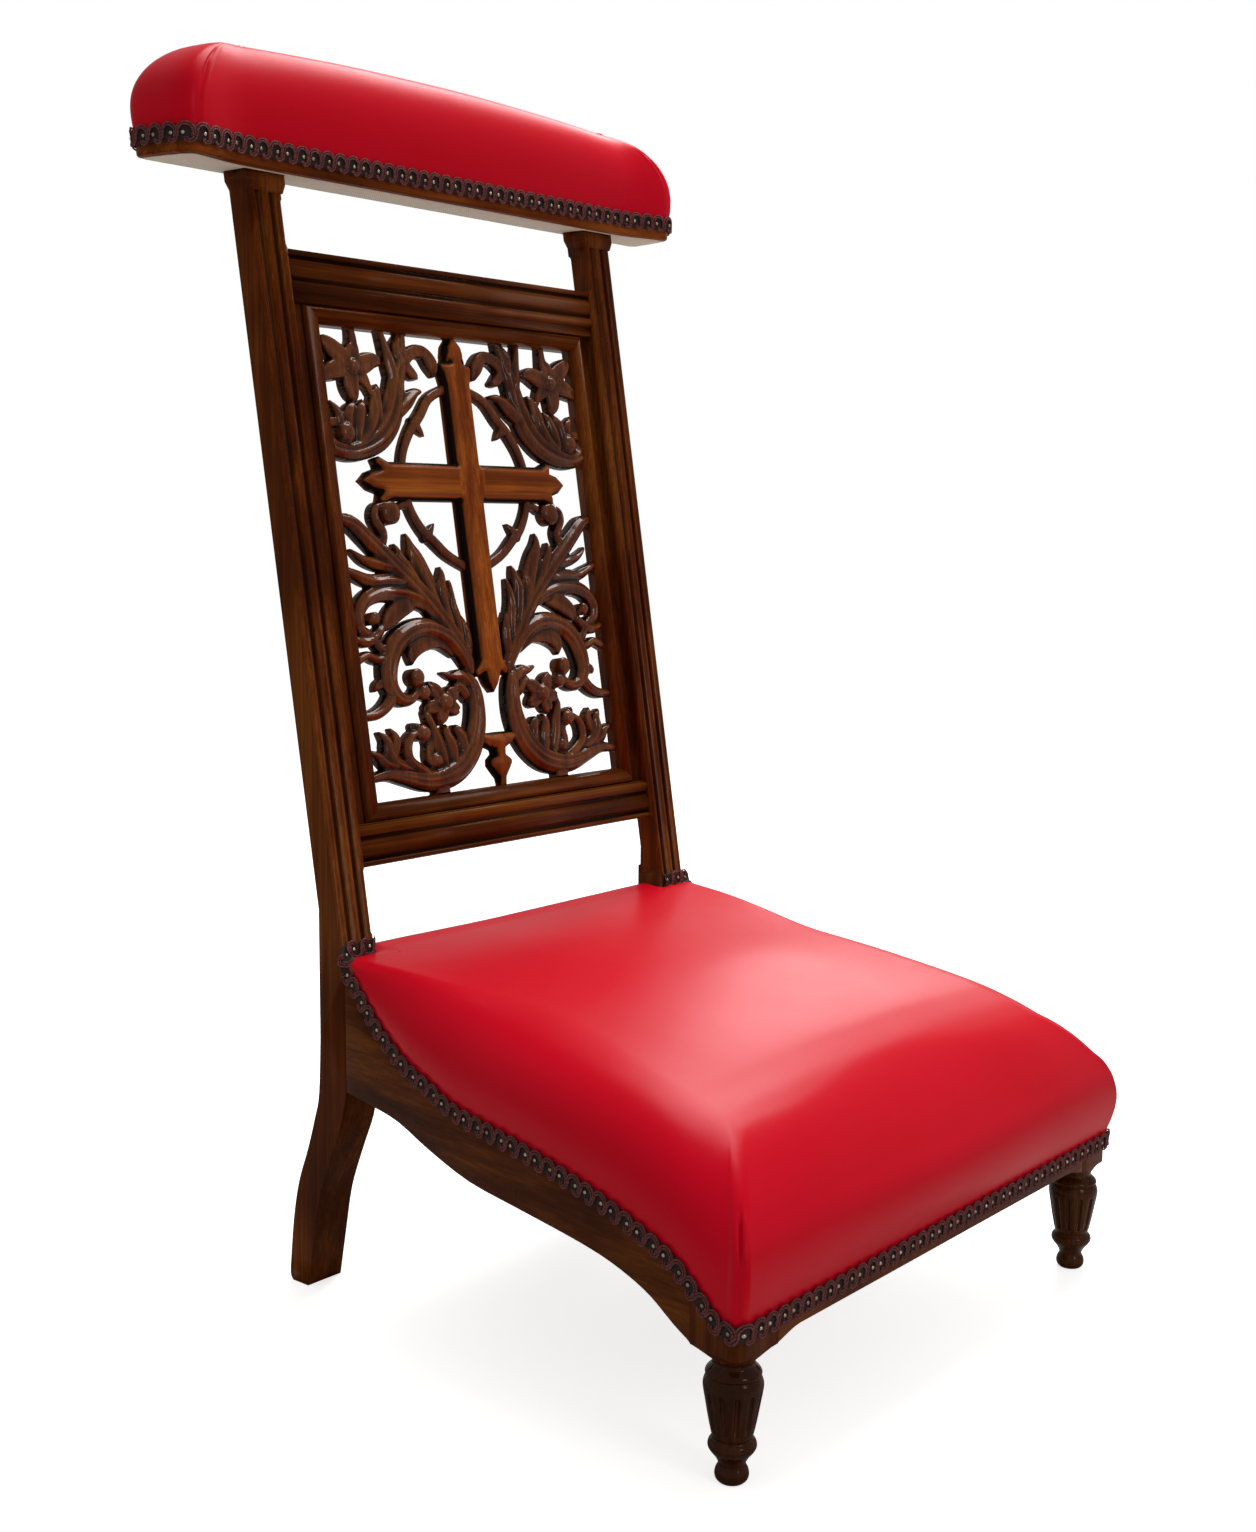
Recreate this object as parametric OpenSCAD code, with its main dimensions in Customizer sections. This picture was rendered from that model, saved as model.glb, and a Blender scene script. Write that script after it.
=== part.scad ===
// Prie-dieu chair: a low seat to kneel on, a raked back with a carved and pierced panel, and a
// padded armrest on top of it. Millimetres. X runs across the chair, the front faces -Y, Z is up.
// Lengths along Y are set out from the line through the two front legs.

/* [Back frame] */
// Width over the two stiles
back_w = 440; // [400:1:480]
// Lean of the back from upright, in degrees
rake = 9.63; // [6:0.01:13]
// Height where the leaning part of a stile begins
knee_z = 274.7; // [265:0.1:285]
// Front of a back leg at the seat, from the line of the front legs
knee_y = 409; // [380:1:440]

/* [Stiles] */
// Width of a stile
stile_w = 36; // [32:0.5:42]
// Depth of a stile above the seat
stile_d = 22; // [19:0.5:26]
// Width of the two outer reeds on a stile
edge_reed_w = 9.4; // [7:0.1:11]
// Width of the quirks between the reeds
quirk_w = 3.3; // [2:0.1:5]
// Depth of the quirks
reed_h = 3.2; // [2:0.1:4]
// How far the inner side of a stile is cut back where no rail meets it
waist_cut = 3; // [1:0.1:5]
// Length of the cut above the top rail
upper_waist_l = 38; // [20:1:44]
// Length of the cut below the bottom rail
lower_waist_l = 54; // [30:1:60]
// Height of the head block under the armrest
head_h = 9; // [6:0.5:12]
// How far the head block stands proud
head_proud = 2; // [1:0.1:4]
// Height of the cove under the head block
head_cove_h = 7; // [4:0.5:10]

/* [Back legs] */
// Depth of a back leg at the seat
leg_d = 30.5; // [27:0.5:36]
// Depth of a back leg at the floor
foot_d = 22; // [18:0.5:27]
// How far the front of the foot stands behind the front of the leg
leg_kick = 50; // [30:1:70]
// Height where the leg starts to sweep back
kick_z = 177; // [160:1:190]

/* [Rails of the back] */
// Way up the slope from the knee to the underside of the bottom rail
bottom_rail_up = 80.8; // [70:0.1:95]
// Height of the bottom rail
bottom_rail_h = 35.2; // [34:0.1:42]
// Height of the top rail
top_rail_h = 42; // [36:0.1:50]
// Depth of both rails
cross_rail_d = 18; // [15:0.5:19]
// How far the rails stand behind the stile fronts
cross_rail_back = 2; // [1:0.1:3]
// Open gap between the top rail and the armrest, along the slope
head_gap = 58.3; // [50:0.1:66]
// Width of the narrow bead at the outer edge of a rail
lip_bead_w = 4.6; // [3:0.1:6]
// Width of the broad bead
broad_bead_w = 14.2; // [10:0.1:16]
// Width of the bead beside the panel
inner_bead_w = 9; // [6:0.1:10]
// Width of the quirks between the beads
bead_gap = 3.2; // [2:0.1:4]
// Height of the beads
bead_h = 3; // [2:0.1:4]

/* [Panel] */
// Flat border between the moulding and a stile
panel_border = 14; // [8:0.5:24]
// Height of the opening along the slope
open_h = 395.6; // [360:0.1:420]
// Width of the half-round moulding round the opening
torus_w = 15; // [12:0.5:18]
// How far the moulding stands behind the stile fronts
torus_back = 4; // [3:0.1:5]
// Width of the rebate that holds the panel
rebate_w = 8; // [5:0.5:10]
// Thickness of the pierced ground of the panel
ground_t = 7.6; // [6:0.1:8]
// Height of the carving over the ground
relief_t = 6.5; // [3:0.1:7]
// Width of the clefts that the carver leaves uncut
carve_soft = 0.8; // [0.4:0.1:1.4]

/* [Seat frame] */
// Width over the front corners
front_w = 530; // [490:1:570]
// Front face of the seat frame, ahead of the line of the front legs
front_out = 19; // [17:0.5:24]
// Thickness of the front and side rails
seat_rail_t = 22; // [18:0.5:26]
// Thickness of the back rail
back_rail_t = 22; // [18:0.5:24]
// Underside of the front rail
front_rail_z = 99.5; // [96:0.5:110]
// Length over which the front rail dips to its corner posts
rail_dip_l = 26; // [14:1:40]
// Underside of a side rail where it meets the back leg
side_rail_back_z = 177; // [165:1:190]
// Top of the front rail
rail_top_front_z = 160; // [150:1:175]
// Top of the side rails at the back
rail_top_back_z = 276; // [262:1:280]
// Height of the back rail
back_rail_h = 62; // [45:1:70]
// Side of a corner post
post_w = 44; // [40:0.5:50]
// Underside of the square part of a corner post, and of the side rails beside it
post_z = 94; // [91:0.5:96]
// Rounding of the front corners of the frame
corner_r = 8; // [4:0.5:12]
// Leg of a corner brace
brace_leg = 66; // [40:1:80]
// Thickness of a corner brace
brace_t = 22; // [15:0.5:26]
// Underside of the front braces
front_brace_z = 122; // [115:1:130]
// Underside of the back braces
back_brace_z = 218; // [212:1:225]

/* [Joints] */
// Length of a tenon
tenon_l = 14; // [8:0.5:15]
// Thickness of a tenon
tenon_t = 8; // [6:0.5:10]
// Shoulder above and below a tenon
tenon_shoulder = 6; // [3:0.5:10]
// Gap all round a tenon or a dowel in its seat
joint_gap = 0.15; // [0.1:0.05:0.3]

/* [Front legs] */
// Height of the turned leg up to its post
turned_h = 88; // [82:0.5:90]
// Widest diameter of the bulb
bulb_d = 40.9; // [34:0.1:44]
// Diameter of the neck under the post
neck_d = 28.6; // [24:0.1:34]
// Diameter where the bulb ends below
waist_d = 28.6; // [22:0.1:32]
// Diameter of the ring
ring_d = 33.3; // [28:0.1:38]
// Diameter of the ankle
ankle_d = 18.7; // [16:0.1:22]
// Diameter of the foot
ball_d = 23.5; // [20:0.1:28]
// Diameter of the top, under the post
flare_d = 31; // [29:0.5:36]
// Diameter of the disc above the bulb
disc_d = 38.4; // [34:0.1:42]
// Diameter of the dowel on top
dowel_d = 12; // [10:0.5:14]
// Length of the dowel
dowel_l = 22; // [14:0.5:24]
// Number of flutes
flutes = 12; // [10:1:14]
// Width of a flute
flute_w = 3.4; // [2.5:0.1:4]

/* [Upholstery of the seat] */
// Top of the seat behind the front roll
seat_front_top_z = 221; // [212:1:232]
// Top of the seat at the back
seat_back_top_z = 290; // [286:1:296]
// Middle of the gimp along the front rail
gimp_front_z = 114; // [110:1:118]
// Middle of the gimp at the back leg
gimp_back_z = 280; // [272:1:282]
// Crown in the middle of the seat
seat_crown = 10; // [2:0.5:18]
// Width of the roll round the edge
seat_roll = 50; // [30:1:56]
// How far round a front corner the roll is wider
seat_corner_l = 46; // [20:1:70]
// Bulge of the front over the frame
front_bulge = 14; // [4:0.5:16]
// Bulge of the sides over the frame
side_bulge = 6; // [2:0.5:10]
// Rounding of the front corners of the leather
seat_corner_r = 14; // [8:0.5:20]

/* [Armrest] */
// Width of the armrest board
arm_w = 599; // [560:0.5:640]
// Depth of the board at its ends
arm_d = 58.5; // [50:0.5:66]
// How far the front corners of the board stand ahead of the stile heads
arm_front_over = 21.9; // [16:0.1:26]
// Hollow of the front edge between the corners
arm_hollow = 11; // [0:0.5:14]
// Thickness of the board
board_t = 20; // [16:0.5:24]
// Wooden edge left showing under the gimp
board_show = 5.9; // [3:0.1:9]
// Height of the pad at the middle, from the underside of the board
pad_h = 99.4; // [80:0.1:110]
// Fall of the pad towards its ends
arm_fall = 13; // [0:0.5:18]
// Length of the slope down at each end of the pad
arm_slope_l = 84; // [60:1:110]
// Bulge of the pad over the board
arm_bulge = 4; // [2:0.5:7]
// Thickness of the lining cloth
lining_t = 1; // [0.5:0.1:1.5]
// Margin of board round the lining
lining_margin = 5; // [3:0.5:12]

/* [Coverings] */
// Thickness of the leather
leather_t = 1.5; // [1:0.1:2]
// Width of the gimp
gimp_w = 15; // [11:0.5:16]
// Thickness of the gimp
gimp_t = 2; // [1.2:0.1:2.5]
// Width of a strip of webbing
web_w = 50; // [40:1:56]
// Thickness of webbing
web_t = 2; // [1:0.1:2.5]
// Strips of webbing from front to back
web_long = 5; // [3:1:6]
// Strips of webbing from side to side
web_cross = 4; // [2:1:5]
// Thickness of the hessian
hessian_t = 0.8; // [0.5:0.1:1.2]
// Edge of a rail left free of webbing and hessian
tack_edge = 4; // [2:0.5:8]
// Air between soft pieces and what they lie against
soft_gap = 0.3; // [0.2:0.05:0.4]

/* [Hidden] */
$fn = 48;

// Overrun of every cut, and the thickness of a slice that is hulled
over = 1;
slice = 0.2;

mahogany = [0.27, 0.11, 0.04];
dark_mahogany = [0.2, 0.07, 0.02];
red_leather = [0.7, 0.02, 0.06];
braid = [0.3, 0.13, 0.14];
cream = [0.75, 0.7, 0.6];
jute = [0.6, 0.48, 0.3];

// A smooth curve through a few points, with n steps in each span
function through(a, b, c, d, s) =
    (2 * b + (c - a) * s + (2 * a - 5 * b + 4 * c - d) * s * s
    + (3 * b - a - 3 * c + d) * s * s * s) / 2;
function smooth(p, n = 4) = concat(
    [for (i = [0 : len(p) - 2], k = [0 : n - 1])
        through(p[max(i - 1, 0)], p[i], p[i + 1], p[min(i + 2, len(p) - 1)], k / n)],
    [p[len(p) - 1]]);
function reversed(p) = [for (i = [len(p) - 1 : -1 : 0]) p[i]];
function flipped(p) = [for (q = p) [-q[0], q[1]]];
function mix(a, b, s) = a + (b - a) * s;
// Half of an ellipse from u0 to u1, h high over the line v
function bead(u0, u1, v, h, n = 6) = [for (i = [0 : n])
    [(u0 + u1) / 2 - cos(180 * i / n) * (u1 - u0) / 2, v - sin(180 * i / n) * h]];

// The slope of the back: its local X runs across, Y backwards and Z up the rake
inner_x = back_w / 2 - stile_w;
open_w = 2 * (inner_x - panel_border - torus_w);
open_z = bottom_rail_up + bottom_rail_h + torus_w;
open_top_z = open_z + open_h;
top_rail_z = open_top_z + torus_w;
cross_rail_l = 2 * inner_x;
panel_back = cross_rail_back + cross_rail_d;
slope_l = top_rail_z + top_rail_h + head_gap;
arm_under_z = knee_z + slope_l * cos(rake);

// The seat in plan: its width at y, and the share of the way from front to back
side_len = knee_y + front_out;
function way(y) = (y + front_out) / side_len;
function at_way(t) = t * side_len - front_out;
function side_x(y) = mix(front_w, back_w, way(y)) / 2;
back_rail_y = knee_y + leg_d - back_rail_t - (leg_d - back_rail_t) / 2;
back_rail_end_y = back_rail_y + back_rail_t;
post_x = front_w / 2 - post_w;
post_y = post_w - front_out;
leg_x = front_w / 2 - post_w / 2 + (post_w / 2 - front_out) / 2;
knuckle = turned_h;

// Heights of the S-shaped lines, as shares of the way back and of the rise
rise_shares = [[0, 0], [0.035, 0.006], [0.06, 0.05], [0.09, 0.11], [0.13, 0.185], [0.18, 0.24],
    [0.28, 0.32], [0.38, 0.375], [0.51, 0.43], [0.67, 0.485], [0.74, 0.55], [0.81, 0.615],
    [0.88, 0.73], [0.92, 0.82], [0.96, 0.92], [1, 1]];
under_shares = [[0.1, 0], [0.14, 0.1], [0.19, 0.25], [0.24, 0.345], [0.3, 0.42], [0.38, 0.475],
    [0.51, 0.535], [0.64, 0.6], [0.75, 0.745], [0.84, 0.9], [0.91, 0.955], [1, 1]];
top_shares = [[0.08, 0], [0.11, 0.03], [0.15, 0.11], [0.195, 0.175], [0.24, 0.24], [0.33, 0.345],
    [0.42, 0.445], [0.51, 0.52], [0.605, 0.605], [0.7, 0.695], [0.8, 0.81], [0.9, 0.91], [1.03, 1]];
rise_line = smooth(rise_shares, 2);
top_line = smooth(top_shares, 2);
function rise(y) = lookup(way(y), rise_line);
function gimp_z(y) = mix(gimp_front_z, gimp_back_z, rise(y));
function rail_top(y) = mix(rail_top_front_z, rail_top_back_z, rise(y));

// Where a thing stands: the chair's middle from front to back is its origin
module set_out() translate([0, -middle_y, 0]) children();
module on_slope() translate([0, knee_y, knee_z]) rotate([-rake, 0, 0]) children();
// A side view (Y, Z) extruded across the chair from x0 over a width w
module across(x0, w) translate([x0, 0, 0]) rotate([90, 0, 90]) linear_extrude(w) children();
module box(a, b) translate(a) cube(b - a);
module handed(side) mirror([side < 0 ? 1 : 0, 0, 0]) children();

// Stiles, with their sabre legs

// Side view of the leg, as shares of the sweep and of its height
leg_front_shares = [[0, 1], [0.14, 0.836], [0.37, 0.684], [0.62, 0.51], [0.73, 0.4],
    [0.83, 0.254], [1, 0]];
leg_back_shares = [[0, 1.23], [0.06, 0.96], [0.2, 0.83], [0.42, 0.672], [0.69, 0.508],
    [0.86, 0.333], [0.975, 0.113], [1, 0.03], [0.93, 0]];
leg_back_sweep = leg_kick + foot_d - leg_d;
leg_top_z = knee_z + (leg_d - stile_d / cos(rake)) / tan(rake);
leg_outline = concat(
    [[knee_y, knee_z]],
    smooth([for (s = leg_front_shares) [knee_y + s[0] * leg_kick, s[1] * kick_z]]),
    reversed(smooth([for (s = leg_back_shares)
        [knee_y + leg_d + s[0] * leg_back_sweep, s[1] * kick_z]])),
    [[knee_y + leg_d, leg_top_z], [knee_y + stile_d / cos(rake), knee_z]]);

reed_mid_w = stile_w - 2 * edge_reed_w - 2 * quirk_w;
stile_section = concat(
    bead(inner_x, inner_x + edge_reed_w, reed_h, reed_h),
    bead(inner_x + edge_reed_w + quirk_w, back_w / 2 - edge_reed_w - quirk_w, reed_h, reed_h),
    bead(back_w / 2 - edge_reed_w, back_w / 2, reed_h, reed_h),
    [[back_w / 2, stile_d], [inner_x, stile_d]]);

head_y = knee_y + (arm_under_z - knee_z) * tan(rake);
head_d = stile_d / cos(rake);
head_tenon_w = stile_w - 2 * tenon_t;
module head_tenon(gap = 0) {
    box([inner_x + tenon_t - gap, head_y + tenon_shoulder - gap, arm_under_z - over],
        [inner_x + tenon_t + head_tenon_w + gap, head_y + head_d - tenon_shoulder + gap,
        arm_under_z + tenon_l + gap]);
}
module head_slice(z, proud) {
    y = knee_y + (z - knee_z) * tan(rake);
    box([inner_x - proud, y - proud, z], [back_w / 2 + proud, y + head_d + proud, z + slice]);
}
module head_block() {
    hull() {
        head_slice(arm_under_z - head_h, head_proud);
        head_slice(arm_under_z - slice, head_proud);
    }
    hull() {
        head_slice(arm_under_z - head_h, head_proud);
        head_slice(arm_under_z - head_h - head_cove_h / 3, head_proud / 3);
        head_slice(arm_under_z - head_h - head_cove_h, 0);
    }
}
// A shallow cut on the inner side of a stile, rounded at both ends
module waist(z, l) {
    translate([inner_x - waist_cut, -head_proud - over, z + waist_cut])
        cube([2 * waist_cut, stile_d + 2 * head_proud + 2 * over, l - 2 * waist_cut]);
    for (end_z = [z + waist_cut, z + l - waist_cut])
        translate([inner_x, -head_proud - over, end_z]) rotate([-90, 0, 0])
            cylinder(r = waist_cut, h = stile_d + 2 * head_proud + 2 * over);
}
module rail_tenon(x, y, z, h, gap = 0) {
    box([x - over, y - gap, z - gap], [x + tenon_l + gap, y + tenon_t + gap, z + h + gap]);
}
cross_tenon_y = cross_rail_back + (cross_rail_d - tenon_t) / 2;
side_tenon_x = side_x(knee_y) - (seat_rail_t + tenon_t) / 2;
side_tenon_z = side_rail_back_z + tenon_shoulder + tenon_l;
side_tenon_h = rail_top_back_z - side_tenon_z - tenon_shoulder;
back_rail_z = rail_top_back_z + web_t - back_rail_h;
back_tenon_y = back_rail_y + (back_rail_t - tenon_t) / 2;
module stile(side) color(mahogany) set_out() handed(side) difference() {
    union() {
        across(inner_x, stile_w) polygon(leg_outline);
        difference() {
            on_slope() linear_extrude(slope_l + stile_d) polygon(stile_section);
            box([inner_x - over, knee_y - over, arm_under_z], [back_w / 2 + over,
                knee_y + side_len, arm_under_z + 2 * stile_d]);
        }
        head_block();
        head_tenon();
    }
    on_slope() {
        waist(top_rail_z + top_rail_h, upper_waist_l);
        waist(bottom_rail_up - lower_waist_l, lower_waist_l);
        for (r = [[bottom_rail_up, bottom_rail_h], [top_rail_z, top_rail_h]])
            rail_mortice(cross_tenon_y, r[0] + tenon_shoulder, r[1] - 2 * tenon_shoulder);
    }
    rail_mortice(back_tenon_y, back_rail_z + tenon_shoulder, back_rail_h - 2 * tenon_shoulder);
    side_tenon(joint_gap);
}
module rail_mortice(y, z, h) rail_tenon(inner_x, y, z, h, joint_gap);
module side_tenon(gap = 0) {
    box([side_tenon_x - gap, knee_y - over, side_tenon_z - gap],
        [side_tenon_x + tenon_t + gap, knee_y + tenon_l + gap, side_tenon_z + side_tenon_h + gap]);
}
module stile_left() stile(-1);
module stile_right() stile(1);

// Rails of the back: a lip bead, a broad bead and an inner bead, from the outer edge inwards

function cross_section(h) = concat(
    bead(0, lip_bead_w, cross_rail_back + bead_h, bead_h),
    bead(lip_bead_w + bead_gap, lip_bead_w + bead_gap + broad_bead_w,
        cross_rail_back + bead_h, bead_h, 8),
    bead(lip_bead_w + broad_bead_w + 2 * bead_gap,
        lip_bead_w + broad_bead_w + 2 * bead_gap + inner_bead_w, cross_rail_back + bead_h, bead_h),
    [[h, cross_rail_back + bead_h], [h, panel_back], [0, panel_back]]);
module cross_rail(h) {
    across(-inner_x, cross_rail_l) polygon([for (p = cross_section(h)) [p[1], p[0]]]);
    for (side = [-1, 1]) handed(side)
        rail_tenon(inner_x, cross_tenon_y, tenon_shoulder, h - 2 * tenon_shoulder);
}
module bottom_rail() color(mahogany) set_out() on_slope()
    translate([0, 0, bottom_rail_up]) cross_rail(bottom_rail_h);
module top_rail() color(mahogany) set_out() on_slope()
    translate([0, 0, top_rail_z + top_rail_h]) mirror([0, 0, 1]) cross_rail(top_rail_h);

// Moulding round the panel: a half round with a rebate behind it, mitred at the corners

torus_r = torus_w / 2;
flange_v = torus_back + torus_r;
panel_front = panel_back - ground_t - soft_gap;
function moulding_section(flange) = concat(
    bead(0, torus_w, flange_v, torus_r, 10),
    [[torus_w + flange, flange_v], [torus_w + flange, panel_back],
    [rebate_w + soft_gap, panel_back], [rebate_w + soft_gap, panel_front],
    [0, panel_front]]);
module mitre(z, up) {
    reach = torus_w + over;
    translate([0, panel_back + over, 0]) rotate([90, 0, 0])
        linear_extrude(panel_back + 2 * over)
            polygon([[open_w / 2 - over, z], [open_w / 2, z],
                [open_w / 2 + reach, z + up * reach], [open_w / 2 - over, z + up * reach]]);
}
module side_moulding(side) color(dark_mahogany) set_out() on_slope() handed(side) difference() {
    translate([open_w / 2, 0, open_z - torus_w]) linear_extrude(open_h + 2 * torus_w)
        polygon(moulding_section(inner_x - open_w / 2 - torus_w));
    mitre(open_z, -1);
    mitre(open_top_z, 1);
}
module moulding_left() side_moulding(-1);
module moulding_right() side_moulding(1);
module cross_moulding(z, up) color(dark_mahogany) set_out() on_slope() intersection() {
    translate([0, 0, z]) mirror([0, 0, up < 0 ? 1 : 0])
        across(-open_w / 2 - torus_w, open_w + 2 * torus_w)
            polygon([for (p = moulding_section(0)) [p[1], p[0]]]);
    translate([0, panel_back + over, 0]) rotate([90, 0, 0])
        linear_extrude(panel_back + 2 * over)
            polygon([[-open_w / 2, z], [open_w / 2, z],
                [open_w / 2 + torus_w + over, z + up * (torus_w + over)],
                [-open_w / 2 - torus_w - over, z + up * (torus_w + over)]]);
}
module moulding_top() cross_moulding(open_top_z, 1);
module moulding_bottom() cross_moulding(open_z, -1);

// Carved panel, set out on squares of about 10 mm: 15.5 squares each side of the middle and
// 39.6 squares up. A stroke is a list of [squares out, squares up, half width in squares].

square_x = open_w / 31;
square_z = open_h / 39.6;
ring_shares = [[1.4, 35.1, 0.4], [3.4, 34.2, 0.42], [4.8, 32.6, 0.45], [6.1, 31.3, 0.45],
    [7.3, 29.3, 0.42], [7.7, 27.2, 0.42], [7.3, 24.7, 0.42], [6.2, 22.8, 0.45], [4.9, 21.7, 0.45],
    [3.4, 20.5, 0.42], [1.4, 19.5, 0.4]];
scroll_shares = [
    ring_shares,
    [[13.4, 31, 0.5], [14.1, 30, 0.9], [12.4, 29.4, 1], [10.4, 30, 1.3], [8.7, 31.7, 1.4],
        [7.5, 33.8, 1.2], [7, 35.8, 1], [6.2, 37.8, 0.7], [5.7, 39.8, 0.35]],
    [[12.6, 29.6, 0.8], [14, 29.4, 0.7], [15.8, 29.8, 0.6]],
    [[7.2, 34.8, 0.9], [7.8, 37.2, 0.7], [8.5, 39.8, 0.35]],
    [[9.9, 30.8, 1], [12.2, 31.5, 0.9], [14.6, 33.2, 0.25]],
    [[7.8, 32.6, 1], [6.1, 33.9, 0.7], [4.5, 34.7, 0.2]],
    [[8.6, 31.6, 1], [10.4, 33, 0.9], [11.5, 34.9, 0.35]],
    [[6.6, 36.8, 0.5], [5.4, 37.4, 0.7], [4.6, 38.3, 0.6], [3, 38.2, 0.5], [1.7, 37, 0.5]],
    [[4.6, 38, 0.5], [5.6, 36.8, 0.6], [4.6, 36, 0.3]],
    [[12.2, 36.8, 1.1], [14.1, 38, 0.9], [15.8, 38.4, 0.4]],
    [[12.2, 36.8, 1.1], [14.4, 36.2, 0.9], [15.8, 35.6, 0.5]],
    [[12.2, 36.8, 1.1], [10.6, 36.9, 0.8], [8.7, 36.4, 0.3]],
    [[12.2, 36.8, 1], [12.4, 38, 0.6], [11.6, 39.8, 0.45]],
    [[12.2, 36.8, 1], [12.9, 35.2, 0.8], [13.2, 34.3, 0.4]],
    [[3, 11, 0.9], [4.6, 13.6, 1.2], [6.3, 15.6, 1.4], [8.4, 17.8, 1.4], [10.8, 19.9, 1.2],
        [12.9, 21.7, 0.9], [14.4, 23.2, 0.6], [15.8, 23.9, 0.4]],
    [[6.4, 16.2, 0.8], [7.2, 18.8, 1.5], [7.8, 20.6, 1], [8.2, 22.4, 0.2]],
    [[4.6, 14.2, 0.8], [5, 16.8, 1.1], [4.5, 19.4, 0.2]],
    [[3.6, 12.8, 0.7], [3.8, 15.8, 0.9], [3.3, 18.2, 0.2]],
    [[9.6, 18.4, 0.9], [12.2, 18.9, 0.8], [15.8, 19.6, 0.3]],
    [[7.4, 24.6, 0.4], [8.5, 25, 0.35], [9.7, 24.4, 1], [11.4, 23.7, 0.6], [12.8, 21.9, 0.6]],
    [[6.5, 16, 0.9], [8.2, 16.9, 1.1], [10, 17.3, 1.1], [12.4, 17.3, 0.8], [14.3, 16, 0.8],
        [14.9, 14.2, 0.6], [13.8, 13.2, 0.5]],
    [[9.8, 17, 0.8], [11.4, 14.9, 0.8], [13.4, 13.7, 0.6], [15.8, 13.3, 0.5]],
    [[3.4, 11.8, 0.8], [5.4, 13.6, 1], [7.8, 14.3, 1.1], [10.2, 13.9, 1.1], [12, 12.8, 1.1],
        [12.9, 11, 1], [12.4, 9.2, 0.9], [11, 8.5, 0.8], [10.2, 9.5, 0.6]],
    [[12.6, 11.8, 0.7], [14.2, 11.9, 0.5], [15.8, 11.4, 0.4]],
    [[11.8, 8.8, 0.8], [13.5, 7.7, 0.7], [15.8, 7.2, 0.45]],
    [[2.6, 10.6, 1], [1.9, 7.8, 1.1], [2.3, 5.4, 1.2], [3.5, 3.2, 1.3], [5.4, 1.5, 1.3],
        [7.6, 0.9, 1.2], [9.8, 1, 1.1], [12, 1.7, 0.9], [15.8, 2.4, 0.4]],
    [[7.6, 0.6, 0.9], [7.6, -0.2, 0.9]],
    [[3, 9.8, 0.8], [4.6, 9.2, 0.8], [6, 7.7, 1.5], [7.6, 5.8, 1], [8.8, 3.8, 1.1], [9.6, 1.6, 0.9]],
    [[6.4, 8, 0.8], [8.8, 8.2, 0.9], [10.8, 8.7, 0.7]],
    [[8.8, 4.2, 0.9], [10.2, 5.5, 0.8], [12, 6, 0.7], [13.2, 5.2, 0.7], [12.3, 4.2, 0.7],
        [11.4, 4.9, 0.5]],
    [[12.6, 5.6, 0.7], [14, 5.2, 0.6], [15.8, 4.2, 0.4]],
    [[8.9, 2.2, 0.8], [11, 2.6, 0.8], [12.8, 3.2, 0.5], [13.3, 4.6, 0.5]]
];
// Right half of the outlines of the cross and of the pendant under it
cross_shares = [[0, 39.9], [0.9, 38.6], [1, 37.4], [2.3, 37.1], [1.6, 35.6], [1.6, 28.4], [9.6, 28.4],
    [10.7, 29], [10.9, 27.9], [12.6, 26.8], [10.9, 25.8], [10.7, 25], [9.6, 25.5], [1.6, 25.5],
    [1.6, 11.2], [2.6, 9.6], [1.1, 9.6], [0, 8.2]];
cross_field_shares = [[0, 38.2], [0.6, 36.8], [1, 36], [1, 27.9], [9.2, 27.9], [10.6, 26.8],
    [9.2, 26], [1, 26], [1, 11.8], [0, 10]];
pendant_shares = [[0, 4.7], [2.2, 4.6], [2.2, 4], [1.5, 3.3], [0.8, 2.7], [1.3, 1.8], [1, 0.8],
    [0, -0.1]];

function on_squares(s) = [for (p = s) [p[0] * square_x, p[1] * square_z]];
function both_halves(s) = concat(on_squares(s), reversed(flipped(on_squares(s))));
// A stroke's outline: both sides of the curve at its own half width, with a rounded tip
function stroke(shares, scale_w) = let (
    steps = len(shares) > 5 && scale_w == 1 ? 2 : 1,
    c = smooth([for (p = shares) [p[0] * square_x, p[1] * square_z, p[2] * square_x * scale_w]],
        steps),
    n = len(c) - 1,
    a = [for (i = [0 : n]) let (d = c[min(i + 1, n)] - c[max(i - 1, 0)])
        atan2(d[1], d[0])],
    side = function (s) [for (i = [0 : n])
        [c[i][0] - s * sin(a[i]) * c[i][2], c[i][1] + s * cos(a[i]) * c[i][2]]],
    cap = function (p, turn) [for (k = [-1 : 1])
        [p[0] + cos(turn + 45 * k) * p[2], p[1] + sin(turn + 45 * k) * p[2]]])
    concat(side(-1), cap(c[n], a[n]), reversed(side(1)), cap(c[0], a[0] + 180));
module strokes(scale_w) for (side = [-1, 1]) handed(side)
    for (s = scroll_shares) polygon(stroke(s, scale_w));
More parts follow.
